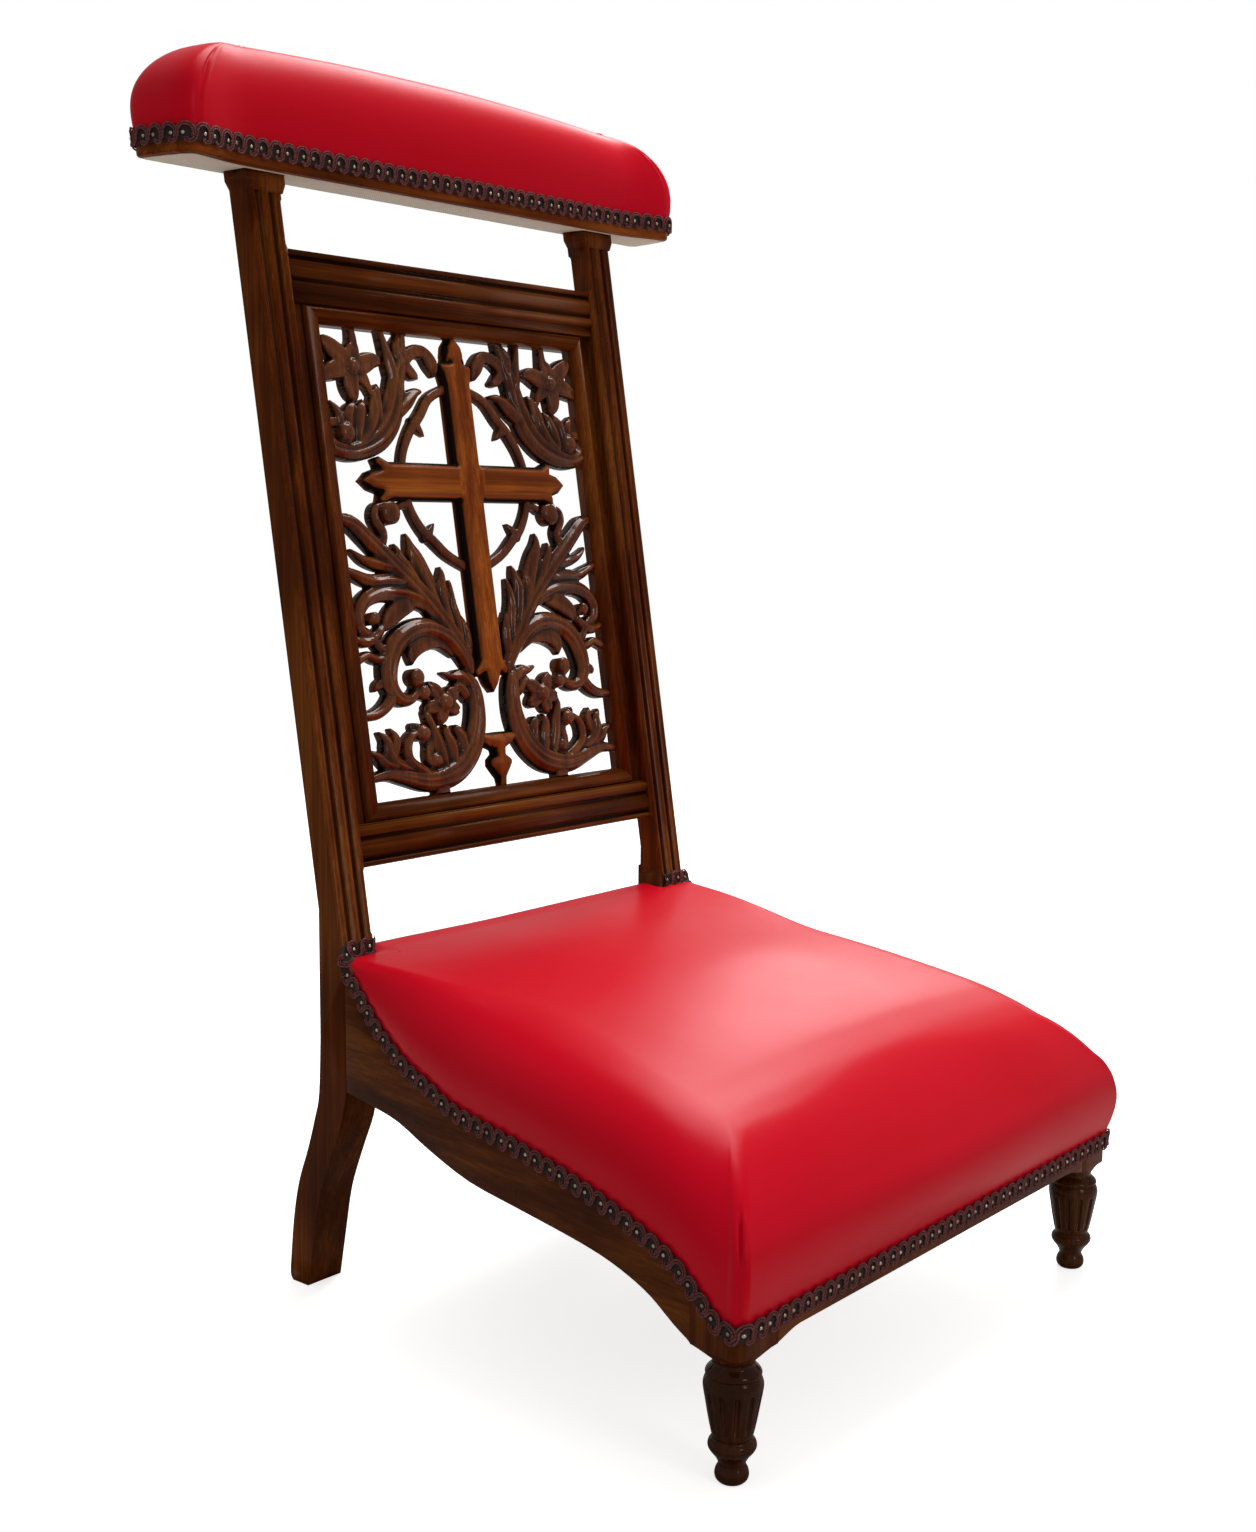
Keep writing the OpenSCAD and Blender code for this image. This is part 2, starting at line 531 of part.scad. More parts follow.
// Fills the narrow clefts between strokes
module softened(r) offset(delta = -r) offset(delta = r) children();
module panel_edge() difference() {
    translate([-open_w / 2 - rebate_w, -rebate_w])
        square([open_w + 2 * rebate_w, open_h + 2 * rebate_w]);
    translate([-open_w / 2, 0]) square([open_w, open_h]);
}
module carved_panel() color(mahogany) set_out() on_slope()
    translate([0, panel_back, open_z]) rotate([90, 0, 0]) {
        linear_extrude(ground_t) softened(carve_soft) {
            panel_edge();
            strokes(1);
            polygon(both_halves(cross_shares));
            polygon(both_halves(pendant_shares));
        }
        linear_extrude(ground_t + relief_t) intersection() {
            softened(carve_soft) {
                strokes(0.6);
                polygon(both_halves(cross_field_shares));
            }
            translate([-open_w / 2 + soft_gap, soft_gap])
                square([open_w - 2 * soft_gap, open_h - 2 * soft_gap]);
        }
    }

// Seat frame

// Plan of a side rail between the post and the back leg
module side_plan(y0, y1, out, inner) linear_extrude(arm_under_z)
    polygon([[side_x(y0) + out, y0], [side_x(y1) + out, y1],
        [side_x(y1) - inner, y1], [side_x(y0) - inner, y0]]);
side_outline = concat(
    [for (p = smooth(under_shares, 3)) if (at_way(p[0]) > post_y)
        [at_way(p[0]), mix(post_z, side_rail_back_z, p[1])]],
    [for (p = reversed(rise_line)) if (at_way(p[0]) > post_y)
        [at_way(p[0]), mix(rail_top_front_z, rail_top_back_z, p[1])]],
    [[post_y, rail_top(post_y)], [post_y, post_z]]);
post_tenon_z = front_rail_z + 2 * tenon_shoulder + dowel_l / 2;
post_tenon_h = rail_top_front_z - tenon_shoulder - post_tenon_z;
post_tenon_x = side_x(post_y) - (seat_rail_t + tenon_t) / 2;
module post_side_tenon(gap = 0) {
    box([post_tenon_x - gap, post_y - tenon_l - gap, post_tenon_z - gap],
        [post_tenon_x + tenon_t + gap, post_y + over, post_tenon_z + post_tenon_h + gap]);
}
module side_rail(side) color(mahogany) set_out() handed(side) {
    intersection() {
        across(0, front_w) polygon(side_outline);
        side_plan(post_y, knee_y, 0, seat_rail_t);
    }
    side_tenon();
    post_side_tenon();
}
module side_rail_left() side_rail(-1);
module side_rail_right() side_rail(1);

front_tenon_y = -front_out + (seat_rail_t - tenon_t) / 2 - tenon_shoulder / 2;
module front_tenon(gap = 0) {
    box([post_x - over, front_tenon_y - gap, post_tenon_z - gap],
        [post_x + tenon_l + gap, front_tenon_y + tenon_t + gap, post_tenon_z + post_tenon_h + gap]);
}
dip_shares = [[0, 0], [0.25, 0.3], [0.5, 0.62], [0.75, 0.88], [1, 1]];
front_rail_half = concat(
    [for (p = dip_shares) [post_x - p[0] * rail_dip_l, mix(post_z, front_rail_z, p[1])]]);
module front_rail() color(mahogany) set_out() {
    translate([0, seat_rail_t - front_out, 0]) rotate([90, 0, 0]) linear_extrude(seat_rail_t)
        polygon(concat([[post_x, rail_top_front_z + web_t]], front_rail_half,
            reversed(flipped(front_rail_half)), [[-post_x, rail_top_front_z + web_t]]));
    for (side = [-1, 1]) handed(side) front_tenon();
}
module back_rail() color(mahogany) set_out() {
    box([-inner_x, back_rail_y, back_rail_z], [inner_x, back_rail_end_y, back_rail_z + back_rail_h]);
    for (side = [-1, 1]) handed(side)
        rail_tenon(inner_x, back_tenon_y, back_rail_z + tenon_shoulder,
            back_rail_h - 2 * tenon_shoulder);
}

// Corner posts: square above, drawn in below to the round of the turned leg

front_corner_x = front_w / 2 - corner_r;
post_plan = concat(
    [[post_x, -front_out]],
    [for (a = [-90 : 22.5 : 0]) [front_corner_x + cos(a) * corner_r,
        corner_r - front_out + sin(a) * corner_r]],
    [[side_x(post_y), post_y], [post_x, post_y]]);
post_waist_share = 0.84;
post_waist_z = mix(knuckle, post_z, 0.55);
module post_slice(z, share) translate([leg_x, 0, z]) linear_extrude(slice) scale(share)
    translate([-leg_x, 0]) polygon(post_plan);
module corner_post(side) color(mahogany) set_out() handed(side) difference() {
    union() {
        translate([0, 0, post_z]) linear_extrude(rail_top_front_z - post_z) polygon(post_plan);
        hull() {
            post_slice(post_z, 1);
            post_slice(post_waist_z, post_waist_share);
        }
        hull() {
            post_slice(post_waist_z, post_waist_share);
            translate([leg_x, 0, knuckle]) cylinder(d = flare_d, h = slice, $fn = 32);
        }
    }
    translate([leg_x, 0, knuckle - over])
        cylinder(d = dowel_d + 2 * joint_gap, h = dowel_l + over + 2 * joint_gap);
    front_tenon(joint_gap);
    post_side_tenon(joint_gap);
}
module corner_post_left() corner_post(-1);
module corner_post_right() corner_post(1);

module corner_braces() color(mahogany) set_out() for (side = [-1, 1]) handed(side) {
    inside = seat_rail_t - front_out;
    translate([0, 0, front_brace_z]) linear_extrude(brace_t)
        polygon([[post_x - brace_leg, inside], [post_x, inside], [post_x, post_y],
            [side_x(post_y) - seat_rail_t, post_y],
            [side_x(post_y + brace_leg) - seat_rail_t, post_y + brace_leg]]);
    translate([0, 0, back_brace_z]) linear_extrude(brace_t)
        polygon([[side_x(knee_y - brace_leg) - seat_rail_t, knee_y - brace_leg],
            [side_x(knee_y) - seat_rail_t, knee_y], [inner_x, knee_y], [inner_x, back_rail_y],
            [inner_x - brace_leg, back_rail_y]]);
}

// Turned front legs, as shares of their height with named radii

leg_upper = smooth([[flare_d / 2, 1], [neck_d / 2 + (flare_d - neck_d) / 8, 0.975],
    [neck_d / 2, 0.95], [mix(neck_d, disc_d, 0.3) / 2, 0.93],
    [disc_d * 0.48, 0.9], [disc_d / 2, 0.875], [disc_d * 0.46, 0.855]]);
leg_bulb = smooth([[bulb_d * 0.455, 0.85], [bulb_d * 0.49, 0.815], [bulb_d / 2, 0.765],
    [bulb_d * 0.456, 0.642], [mix(waist_d, bulb_d, 0.35) / 2, 0.5], [waist_d / 2, 0.386],
    [waist_d * 0.46, 0.355]]);
leg_lower = smooth([[ring_d * 0.43, 0.345], [ring_d * 0.48, 0.325], [ring_d / 2, 0.29],
    [ring_d * 0.46, 0.255], [mix(ankle_d, ring_d, 0.3) / 2, 0.2], [ankle_d / 2, 0.145],
    [mix(ankle_d, ball_d, 0.7) / 2, 0.1], [ball_d / 2, 0.06], [ball_d * 0.47, 0.025],
    [ankle_d * 0.48, 0]], 3);
flute_foot = [waist_d * 0.53, 0.41];
flute_head = [bulb_d * 0.495, 0.735];
flute_run = [flute_head[0] - flute_foot[0], (flute_head[1] - flute_foot[1]) * turned_h];
module front_leg(side) color(dark_mahogany) set_out() handed(side) translate([leg_x, 0, 0]) {
    difference() {
        rotate_extrude() polygon(concat([[0, turned_h]],
            [for (p = concat(leg_upper, leg_bulb, leg_lower)) [p[0], p[1] * turned_h]], [[0, 0]]));
        for (i = [0 : flutes - 1]) rotate([0, 0, 360 * (i + 0.5) / flutes])
            translate([flute_foot[0], 0, flute_foot[1] * turned_h])
                rotate([0, atan2(flute_run[0], flute_run[1]), 0]) {
                    cylinder(d = flute_w, h = norm(flute_run), $fn = 24);
                    translate([0, 0, norm(flute_run)]) sphere(d = flute_w, $fn = 24);
                }
    }
    translate([0, 0, turned_h - over]) cylinder(d = dowel_d, h = dowel_l + over);
}
module front_leg_left() front_leg(-1);
module front_leg_right() front_leg(1);

// Webbing and hessian, which follow the S of the rails

web_y0 = tack_edge - front_out;
web_y1 = back_rail_end_y - tack_edge;
function band(y0, y1, low, thick, n = 48) = concat(
    [for (i = [0 : n]) let (y = mix(y0, y1, i / n)) [y, rail_top(y) + low]],
    [for (i = [n : -1 : 0]) let (y = mix(y0, y1, i / n)) [y, rail_top(y) + low + thick]]);
web_clear_y = knee_y - tack_edge;
module inside_plan() linear_extrude(arm_under_z)
    polygon([for (side = [1, -1]) each side > 0 ? inside_half : reversed(flipped(inside_half))]);
inside_half = [[side_x(web_y0) - tack_edge, web_y0], [side_x(web_clear_y) - tack_edge, web_clear_y],
    [inner_x - tack_edge, web_clear_y], [inner_x - tack_edge, web_y1]];
module seat_webbing() color(jute) set_out() {
    pitch_x = 2 * (inner_x - tack_edge) / web_long;
    for (i = [0 : web_long - 1])
        across((i - (web_long - 1) / 2) * pitch_x - web_w / 2, web_w)
            polygon(band(web_y0, web_y1, web_t, web_t));
    pitch_y = (knee_y - post_y) / web_cross;
    for (i = [0 : web_cross - 1]) intersection() {
        across(-front_w / 2, front_w) polygon(band(post_y + (i + 0.5) * pitch_y - web_w / 2,
            post_y + (i + 0.5) * pitch_y + web_w / 2, 0, web_t, 6));
        inside_plan();
    }
}
module seat_hessian() color(jute) set_out() intersection() {
    across(-front_w / 2, front_w) polygon(band(web_y0, web_y1, 2 * web_t, hessian_t));
    inside_plan();
}

// Soft shapes: rings of points that climb from the edge over a roll to the crown.
// An edge point is [x, y, lowest height, bulge].

seat_power = 2.4;
arm_power = 2.1;
function roll_in(s, roll, bulge, power) =
    roll * (1 - pow(1 - pow(s, power), 1 / power)) - bulge * sin(180 * s);
seat_corner_share = 0.6;
// A roll is wider where it rounds a front corner
function corner_roll(e) = let (off = norm([abs(e[0]) - front_w / 2, e[1] + front_out]))
    1 + seat_corner_share * exp(-pow(off / seat_corner_l, 2));
seat_wall_shares = [0, 0.22, 0.46, 0.68, 0.84, 0.95, 1];
seat_top_shares = [0.3, 0.65];
seat_mid_y = at_way(0.5);
cover_out = leather_t + soft_gap;
skirt = gimp_w / 2 + soft_gap;
function seat_bell(y) = sin(180 * min(max(way(y), 0), 1));
function seat_top(x, y) = mix(seat_front_top_z, seat_back_top_z, lookup(way(y), top_line))
    + seat_crown * seat_bell(y) * max(0, 1 - pow(x / (side_x(y) - seat_roll / 2), 2));
function side_low(y) = min(gimp_z(y) + skirt, seat_top(side_x(y), y) - 2 * leather_t);
front_run_shares = [0, 0.2, 0.4, 0.6, 0.8, 0.95];
side_run_shares = [0.09, 0.15, 0.22, 0.3, 0.4, 0.5, 0.6, 0.69, 0.77, 0.84, 0.9, 0.95];
back_run_shares = [0.66, 0.33, 0];
notch_y = knee_y - soft_gap;
notch_low = seat_back_top_z - 3 * leather_t;
back_low = back_rail_z + back_rail_h - skirt;
seat_half = concat(
    [for (s = front_run_shares) [s * (front_w / 2 - seat_corner_r), -front_out - cover_out,
        gimp_front_z + skirt, front_bulge]],
    [for (a = [-68 : 22 : -2]) [front_w / 2 - seat_corner_r + cos(a) * (seat_corner_r + cover_out),
        seat_corner_r - front_out + sin(a) * (seat_corner_r + cover_out),
        gimp_front_z + skirt, mix(side_bulge, front_bulge, -a / 90)]],
    [for (t = side_run_shares) [side_x(at_way(t)) + cover_out, at_way(t),
        side_low(at_way(t)), side_bulge * min(1, (1 - t) * 5)]],
    [[side_x(notch_y) + cover_out, notch_y, notch_low, 0],
    [inner_x - soft_gap, notch_y, notch_low, 0],
    [inner_x - soft_gap, back_rail_end_y + cover_out, back_low, 0]],
    [for (s = back_run_shares) [s * inner_x, back_rail_end_y + cover_out, back_low, 0]]);
function whole(half) = concat(half,
    [for (i = [len(half) - 2 : -1 : 1]) [-half[i][0], half[i][1], half[i][2], half[i][3]]]);
seat_edge = whole(seat_half);

function seat_point(e, s, roll, inset) = let (
    to_mid = [-e[0], seat_mid_y - e[1]],
    inward = to_mid / norm(to_mid),
    d = roll_in(s, roll * corner_roll(e), e[3], seat_power) + inset * (1 - s),
    x = e[0] + inward[0] * d,
    y = e[1] + inward[1] * d)
    [x, y, mix(e[2], seat_top(x, y), s) - inset * s];
function seat_ring(s, inset) = [for (e = seat_edge) seat_point(e, s, seat_roll, inset)];
function seat_inner_ring(f, inset) = [for (e = seat_edge) let (
    p = seat_point(e, 1, seat_roll, inset),
    x = mix(p[0], 0, f),
    y = mix(p[1], seat_mid_y, f))
    [x, y, seat_top(x, y) - inset]];
function seat_rings(inset) = concat(
    [[for (p = seat_ring(0, inset)) [p[0], p[1], p[2] - skirt]]],
    [for (s = seat_wall_shares) seat_ring(s, inset)],
    [for (f = seat_top_shares) seat_inner_ring(f, inset)]);
function seat_apex(inset) = [0, seat_mid_y, seat_top(0, seat_mid_y) - inset];

// Faces between rings of n points; flip turns them over for an inner wall
function wall_faces(base, rings, n, flip) = [for (j = [0 : rings - 2], i = [0 : n - 1]) let (
    a = base + j * n + i,
    b = base + j * n + (i + 1) % n,
    quad = [[a, a + n, b], [b, a + n, b + n]])
    for (f = quad) flip ? reversed(f) : f];
function fan_faces(base, apex, n, flip) = [for (i = [0 : n - 1]) let (
    f = [base + i, apex, base + (i + 1) % n]) flip ? reversed(f) : f];
function join_faces(outer, inner, n) = [for (i = [0 : n - 1]) let (k = (i + 1) % n)
    for (f = [[outer + i, outer + k, inner + i], [outer + k, inner + k, inner + i]]) f];
function flat(rings) = [for (r = rings) each r];

module seat_cover() color(red_leather) set_out() {
    n = len(seat_edge);
    outer = seat_rings(0);
    inner = seat_rings(leather_t);
    rings = len(outer);
    base = rings * n + 1;
    polyhedron(points = concat(flat(outer), [seat_apex(0)], flat(inner), [seat_apex(leather_t)]),
        faces = concat(
            wall_faces(0, rings, n, false), fan_faces((rings - 1) * n, rings * n, n, false),
            wall_faces(base, rings, n, true),
            fan_faces(base + (rings - 1) * n, base + rings * n, n, true),
            join_faces(0, base, n)));
}

stuff_shares = [0, 0.35, 0.65, 0.85, 1];
stuff_inset = leather_t + soft_gap;
stuff_low = 2 * web_t + hessian_t + soft_gap;
function stuff_share(e, k) = let (
    low = (rail_top(e[1]) + stuff_low - over - e[2]) / (seat_top(e[0], e[1]) - e[2]))
    mix(max(low, 0), 1, k);
function stuff_ring(k) = [for (e = seat_edge)
    seat_point(e, stuff_share(e, k), seat_roll, 2 * stuff_inset)];
module seat_stuffing() color(jute) set_out() difference() {
    n = len(seat_edge);
    rings = concat([[for (p = stuff_ring(0)) [p[0], p[1], rail_top_front_z]]],
        [for (k = stuff_shares) stuff_ring(k)],
        [for (f = seat_top_shares) seat_inner_ring(f, 2 * stuff_inset)]);
    count = len(rings);
    polyhedron(points = concat(flat(rings), [seat_apex(2 * stuff_inset)],
            [[0, seat_mid_y, rail_top_front_z]]),
        faces = concat(wall_faces(0, count, n, false),
            fan_faces((count - 1) * n, count * n, n, false),
            fan_faces(0, count * n + 1, n, true)));
    // The hessian that it rests on
    across(-front_w / 2 - front_bulge, front_w + 2 * front_bulge)
        polygon(band(-2 * front_out, back_rail_end_y + front_out,
            -rail_top_front_z, rail_top_front_z + stuff_low, 48));
}

// Gimp: a flat braid that covers the edge of the leather

gimp_in = cover_out + soft_gap;
gimp_line = [for (p = smooth(rise_shares, 2)) if (p[0] < 1 && at_way(p[0]) > -front_out)
    [at_way(p[0]), mix(gimp_front_z, gimp_back_z, p[1])]];
function beside(line, d) = [for (i = [0 : len(line) - 1]) let (
    run = line[min(i + 1, len(line) - 1)] - line[max(i - 1, 0)])
    line[i] + [-run[1], run[0]] / norm(run) * d];
notch_gimp_z = (seat_back_top_z - knee_z) / cos(rake) - gimp_t;
module seat_gimp() color(braid) set_out() {
    box([-front_w / 2 - gimp_in, -front_out - gimp_in - gimp_t, gimp_front_z - gimp_w / 2],
        [front_w / 2 + gimp_in, -front_out - gimp_in, gimp_front_z + gimp_w / 2]);
    for (side = [-1, 1]) handed(side) {
        intersection() {
            across(0, front_w) polygon(concat(beside(gimp_line, -gimp_w / 2),
                reversed(beside(gimp_line, gimp_w / 2))));
            side_plan(-front_out - gimp_in - gimp_t, knee_y + over, gimp_in + gimp_t, -gimp_in);
        }
        on_slope() box([inner_x, -soft_gap - gimp_t, notch_gimp_z],
            [back_w / 2, -soft_gap, notch_gimp_z + gimp_w / 2]);
    }
}

// Armrest

arm_half = arm_w / 2;
arm_front_y = head_y - arm_front_over;
// Right half of the board's outline. Along the front, shares of the half width and of the hollow:
arm_front_shares = [[0, 1], [0.2, 1], [0.4, 1.02], [0.6, 1.06], [0.74, 1], [0.81, 0.74],
    [0.865, 0.37], [0.905, 0.1], [0.935, 0]];
// Round the end and along the back, shares of the half width and of the depth:
arm_end_shares = [[0.957, 0.03], [0.97, 0.12], [0.98, 0.26], [0.99, 0.49], [1, 0.76], [1, 0.9],
    [0.985, 0.98], [0.96, 1], [0.865, 1], [0.74, 1], [0.6, 1], [0.4, 1], [0.2, 1], [0, 1]];
arm_half_line = concat(
    [for (p = arm_front_shares) [p[0] * arm_half, arm_front_y + p[1] * arm_hollow]],
    [for (p = arm_end_shares) [p[0] * arm_half, arm_front_y + p[1] * arm_d]]);
// The same, moved out by c
function arm_outline(c) = beside(arm_half_line, -c);
function all_round(half) = concat(half,
    [for (i = [len(half) - 2 : -1 : 1]) [-half[i][0], half[i][1]]]);
module board_plan(c) polygon(all_round(arm_outline(c)));
module armrest_board() color(mahogany) set_out() difference() {
    translate([0, 0, arm_under_z]) {
        linear_extrude(lining_t) board_plan(-lining_t);
        translate([0, 0, lining_t]) linear_extrude(board_t - lining_t) board_plan(0);
    }
    for (side = [-1, 1]) handed(side) head_tenon(joint_gap);
}
module armrest_lining() color(cream) set_out() difference() {
    translate([0, 0, arm_under_z - lining_t]) linear_extrude(lining_t) board_plan(-lining_margin);
    for (side = [-1, 1]) handed(side)
        box([inner_x - head_proud - soft_gap, head_y - head_proud - soft_gap, arm_under_z - head_h],
            [back_w / 2 + head_proud + soft_gap, head_y + head_d + head_proud + soft_gap,
            arm_under_z + over]);
}
gimp_arm_z = arm_under_z + board_show + gimp_w / 2;
arm_low = gimp_arm_z + skirt;
arm_edge = all_round(arm_outline(cover_out));
arm_spine = arm_half - arm_slope_l;
arm_spine_y = arm_front_y + (arm_hollow + arm_d) / 2;
arm_wall_shares = [0, 0.18, 0.4, 0.62, 0.8, 0.92, 1];
// How much of the way to the spine the roll takes
arm_roll_share = 0.85;
function arm_crest(x) = arm_under_z + pad_h - arm_fall * pow(x / arm_half, 2);
function arm_point(e, s, inset) = let (
    to_mid = [min(max(e[0], -arm_spine), arm_spine), arm_spine_y] - e,
    d = roll_in(s, arm_roll_share * norm(to_mid), arm_bulge, arm_power) + inset * (1 - s),
    p = e + to_mid / norm(to_mid) * d)
    [p[0], p[1], mix(arm_low, arm_crest(p[0]), s) - inset * s];
function arm_ring(s, inset) = [for (e = arm_edge) arm_point(e, s, inset)];
// The strip along the crest, between the front and the back half of the last ring
function crest_faces(base, n, flip) = [for (h = [0, n / 2], i = [0 : n / 4 - 1]) let (
    a = base + (h + i) % n,
    b = base + (h + i + 1) % n,
    c = base + (2 * n + n / 2 - h - i - 1) % n,
    d = base + (2 * n + n / 2 - h - i) % n)
    for (f = c == b ? [[a, d, b]] : [[a, d, b], [b, d, c]]) flip ? reversed(f) : f];
module armrest_cover() color(red_leather) set_out() {
    n = len(arm_edge);
    rings = len(arm_wall_shares) + 1;
    walls = function (inset) concat(
        [[for (p = arm_ring(0, inset)) [p[0], p[1], p[2] - skirt]]],
        [for (s = arm_wall_shares) arm_ring(s, inset)]);
    base = rings * n;
    polyhedron(points = concat(flat(walls(0)), flat(walls(leather_t))),
        faces = concat(wall_faces(0, rings, n, false), crest_faces((rings - 1) * n, n, false),
            wall_faces(base, rings, n, true), crest_faces(base + (rings - 1) * n, n, true),
            join_faces(0, base, n)));
}
module armrest_stuffing() color(jute) set_out() {
    n = len(arm_edge);
    rings = [for (s = arm_wall_shares) [for (p = arm_ring(s, 2 * stuff_inset))
        [p[0], p[1], max(p[2], arm_under_z + board_t + soft_gap)]]];
    polyhedron(points = flat(rings),
        faces = concat(wall_faces(0, len(rings), n, false),
            crest_faces((len(rings) - 1) * n, n, false), crest_faces(0, n, true)));
}
module armrest_gimp() color(braid) set_out()
    translate([0, 0, gimp_arm_z - gimp_w / 2]) linear_extrude(gimp_w) difference() {
        board_plan(gimp_in + gimp_t);
        board_plan(gimp_in);
    }

// Middle of the chair from front to back, halfway between the seat's roll and the armrest's
seat_nose_y = min([for (r = seat_rings(0)) for (p = r) p[1]]);
arm_tail_y = max([for (s = arm_wall_shares) for (p = arm_ring(s, 0)) p[1]]);
middle_y = (seat_nose_y + arm_tail_y) / 2;

stile_left();
stile_right();
top_rail();
bottom_rail();
moulding_top();
moulding_bottom();
moulding_left();
moulding_right();
carved_panel();
side_rail_left();
side_rail_right();
front_rail();
back_rail();
corner_post_left();
corner_post_right();
front_leg_left();
front_leg_right();
corner_braces();
seat_webbing();
seat_hessian();
seat_stuffing();
seat_cover();
seat_gimp();
armrest_board();
armrest_lining();
armrest_stuffing();
armrest_cover();
armrest_gimp();
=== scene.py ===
"""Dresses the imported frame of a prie-dieu chair in mahogany, carving, leather, braid and nails."""
import math

import bmesh
import bpy
import numpy as np
from mathutils import Matrix, Vector


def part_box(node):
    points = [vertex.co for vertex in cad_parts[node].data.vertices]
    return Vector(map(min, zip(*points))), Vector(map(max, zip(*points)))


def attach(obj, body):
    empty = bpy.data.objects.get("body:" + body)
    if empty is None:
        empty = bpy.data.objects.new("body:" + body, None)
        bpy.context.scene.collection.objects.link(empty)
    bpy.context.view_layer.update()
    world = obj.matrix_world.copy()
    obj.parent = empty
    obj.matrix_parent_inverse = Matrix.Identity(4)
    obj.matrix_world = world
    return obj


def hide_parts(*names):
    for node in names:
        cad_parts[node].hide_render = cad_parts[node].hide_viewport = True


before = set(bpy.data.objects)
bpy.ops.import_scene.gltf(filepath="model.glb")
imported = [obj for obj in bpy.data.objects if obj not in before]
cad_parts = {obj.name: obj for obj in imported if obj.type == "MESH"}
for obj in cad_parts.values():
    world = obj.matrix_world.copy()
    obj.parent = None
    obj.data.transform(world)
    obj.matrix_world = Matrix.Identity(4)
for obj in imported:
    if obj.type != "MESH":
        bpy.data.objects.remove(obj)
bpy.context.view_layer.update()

bl_info = {
    "name": "Prie-dieu chair",
    "version": (1, 0, 0),
    "blender": (4, 5, 0),
    "location": "3D View > Sidebar > Prie-dieu",
    "description": "Dresses the packed frame of a prie-dieu chair",
    "category": "Object",
}

MM = 0.001

# The frame's own measures in millimetres; Y runs back from the line of the front legs
FRONT_OUT = 19.0
MIDDLE_Y = -FRONT_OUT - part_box("front_rail")[0].y / MM
RAKE = math.radians(9.63)
KNEE_Y = 409.0
KNEE_Z = 274.7
FRONT_W = 530.0
BACK_W = 440.0
INNER_X = 184.0
SIDE_LEN = KNEE_Y + FRONT_OUT
BACK_RAIL_END_Y = 435.25
OPEN_W = 310.0
OPEN_H = 395.6
OPEN_Z = 131.0
PANEL_BACK = 20.0
GROUND_T = 7.6
RIM_W = 8.0

# The carving is drawn on squares of 10 mm; a cut's surface reaches this many cells past its outline
SQUARE = 10.0
PAST_EDGE = 1.6

# The gimp's middle stands this far out, over a skirt of leather; its lines rise along the side rails
GIMP_OUT = 2.1
GIMP_CORNER_R = 6.0
GIMP_GROUND_T = 0.9
SKIRT = 7.8
COVER_OUT = 1.8
RAIL_TOP = (160.0, 276.0)
GIMP_RISE = (114.0, 280.0)
SEAT_RISE = (221.0, 290.0)

# The seat's leather: its roll, its crown, how it bulges, and its rows of points
SEAT_ROWS = 34
SEAT_ROLL = 66.0
SEAT_CROWN = 13.0
SEAT_LOFT = 8.0
SEAT_CORNER_R = 7.5
FRONT_BULGE = 14.0
SIDE_BULGE = 6.0
SEAT_POWER = 2.3
SEAT_CORNER_L = 62.0
SEAT_CORNER_SHARE = 0.25
SEAT_CORNER_STEPS = 19
SEAT_NOTCH_Y = KNEE_Y - 0.3
SEAT_NOTCH_X = INNER_X - 0.3
STILE_FOOT_Z = 285.5
SEAT_BACK_LOW = 270.2

# The armrest, from the box of its board
ARM_BOX = [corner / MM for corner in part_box("armrest_board")]
ARM_HALF = ARM_BOX[1].x
ARM_FRONT_Y = ARM_BOX[0].y + MIDDLE_Y
ARM_D = ARM_BOX[1].y - ARM_BOX[0].y
ARM_UNDER_Z = ARM_BOX[0].z
LINING_IN = 5.0
ARM_HOLLOW = 11.0
ARM_GIMP_Z = ARM_UNDER_Z + 13.4
ARM_LOW = ARM_GIMP_Z + SKIRT
ARM_PAD_H = 99.4
ARM_FALL = 13.0
ARM_SLOPE_L = 84.0
ARM_BULGE = 4.0
ARM_POWER = 2.35
ARM_ROLL_SHARE = 0.85
ARM_ROWS = 26

# Rounds that even out the tops of the cushions; the lengths of large and small lumps, and how
# high the small ones are beside the large
PATCH_ROUNDS = 3000
LUMP_L = 150.0
SMALL_LUMP_L = 45.0
SMALL_LUMP_SHARE = 0.12

# The stiles' heads under the board, and the webbing on the rails
HEAD_X = (181.7, 222.3)
HEAD_Y = (514.1, 541.0)
WEB_POST_Y = 25.0
WEB_W = 50.0
WEB_LIFT = 2.1
WEB_WAVE = 1.05
WEB_IN = 4.0
WEB_Y = (WEB_IN - FRONT_OUT, BACK_RAIL_END_Y - WEB_IN)
HESSIAN_LIFT = 4.55

# In metres: thicknesses, and the sizes that the cloths are cut to
LEATHER_T = 0.0015
CLOTH_T = 0.0007
WEB_T = 0.0018

# Right half of the armrest's outline. Along the front, shares of the half width and of the hollow:
ARM_FRONT_SHARES = [
    (0, 1), (0.2, 1), (0.4, 1.02), (0.6, 1.06), (0.74, 1), (0.81, 0.74), (0.865, 0.37),
    (0.905, 0.1), (0.935, 0),
]
# Round the end and along the back, shares of the half width and of the depth:
ARM_END_SHARES = [
    (0.957, 0.03), (0.97, 0.12), (0.98, 0.26), (0.99, 0.49), (1, 0.76), (1, 0.9), (0.985, 0.98),
    (0.96, 1), (0.865, 1), (0.74, 1), (0.6, 1), (0.4, 1), (0.2, 1), (0, 1),
]

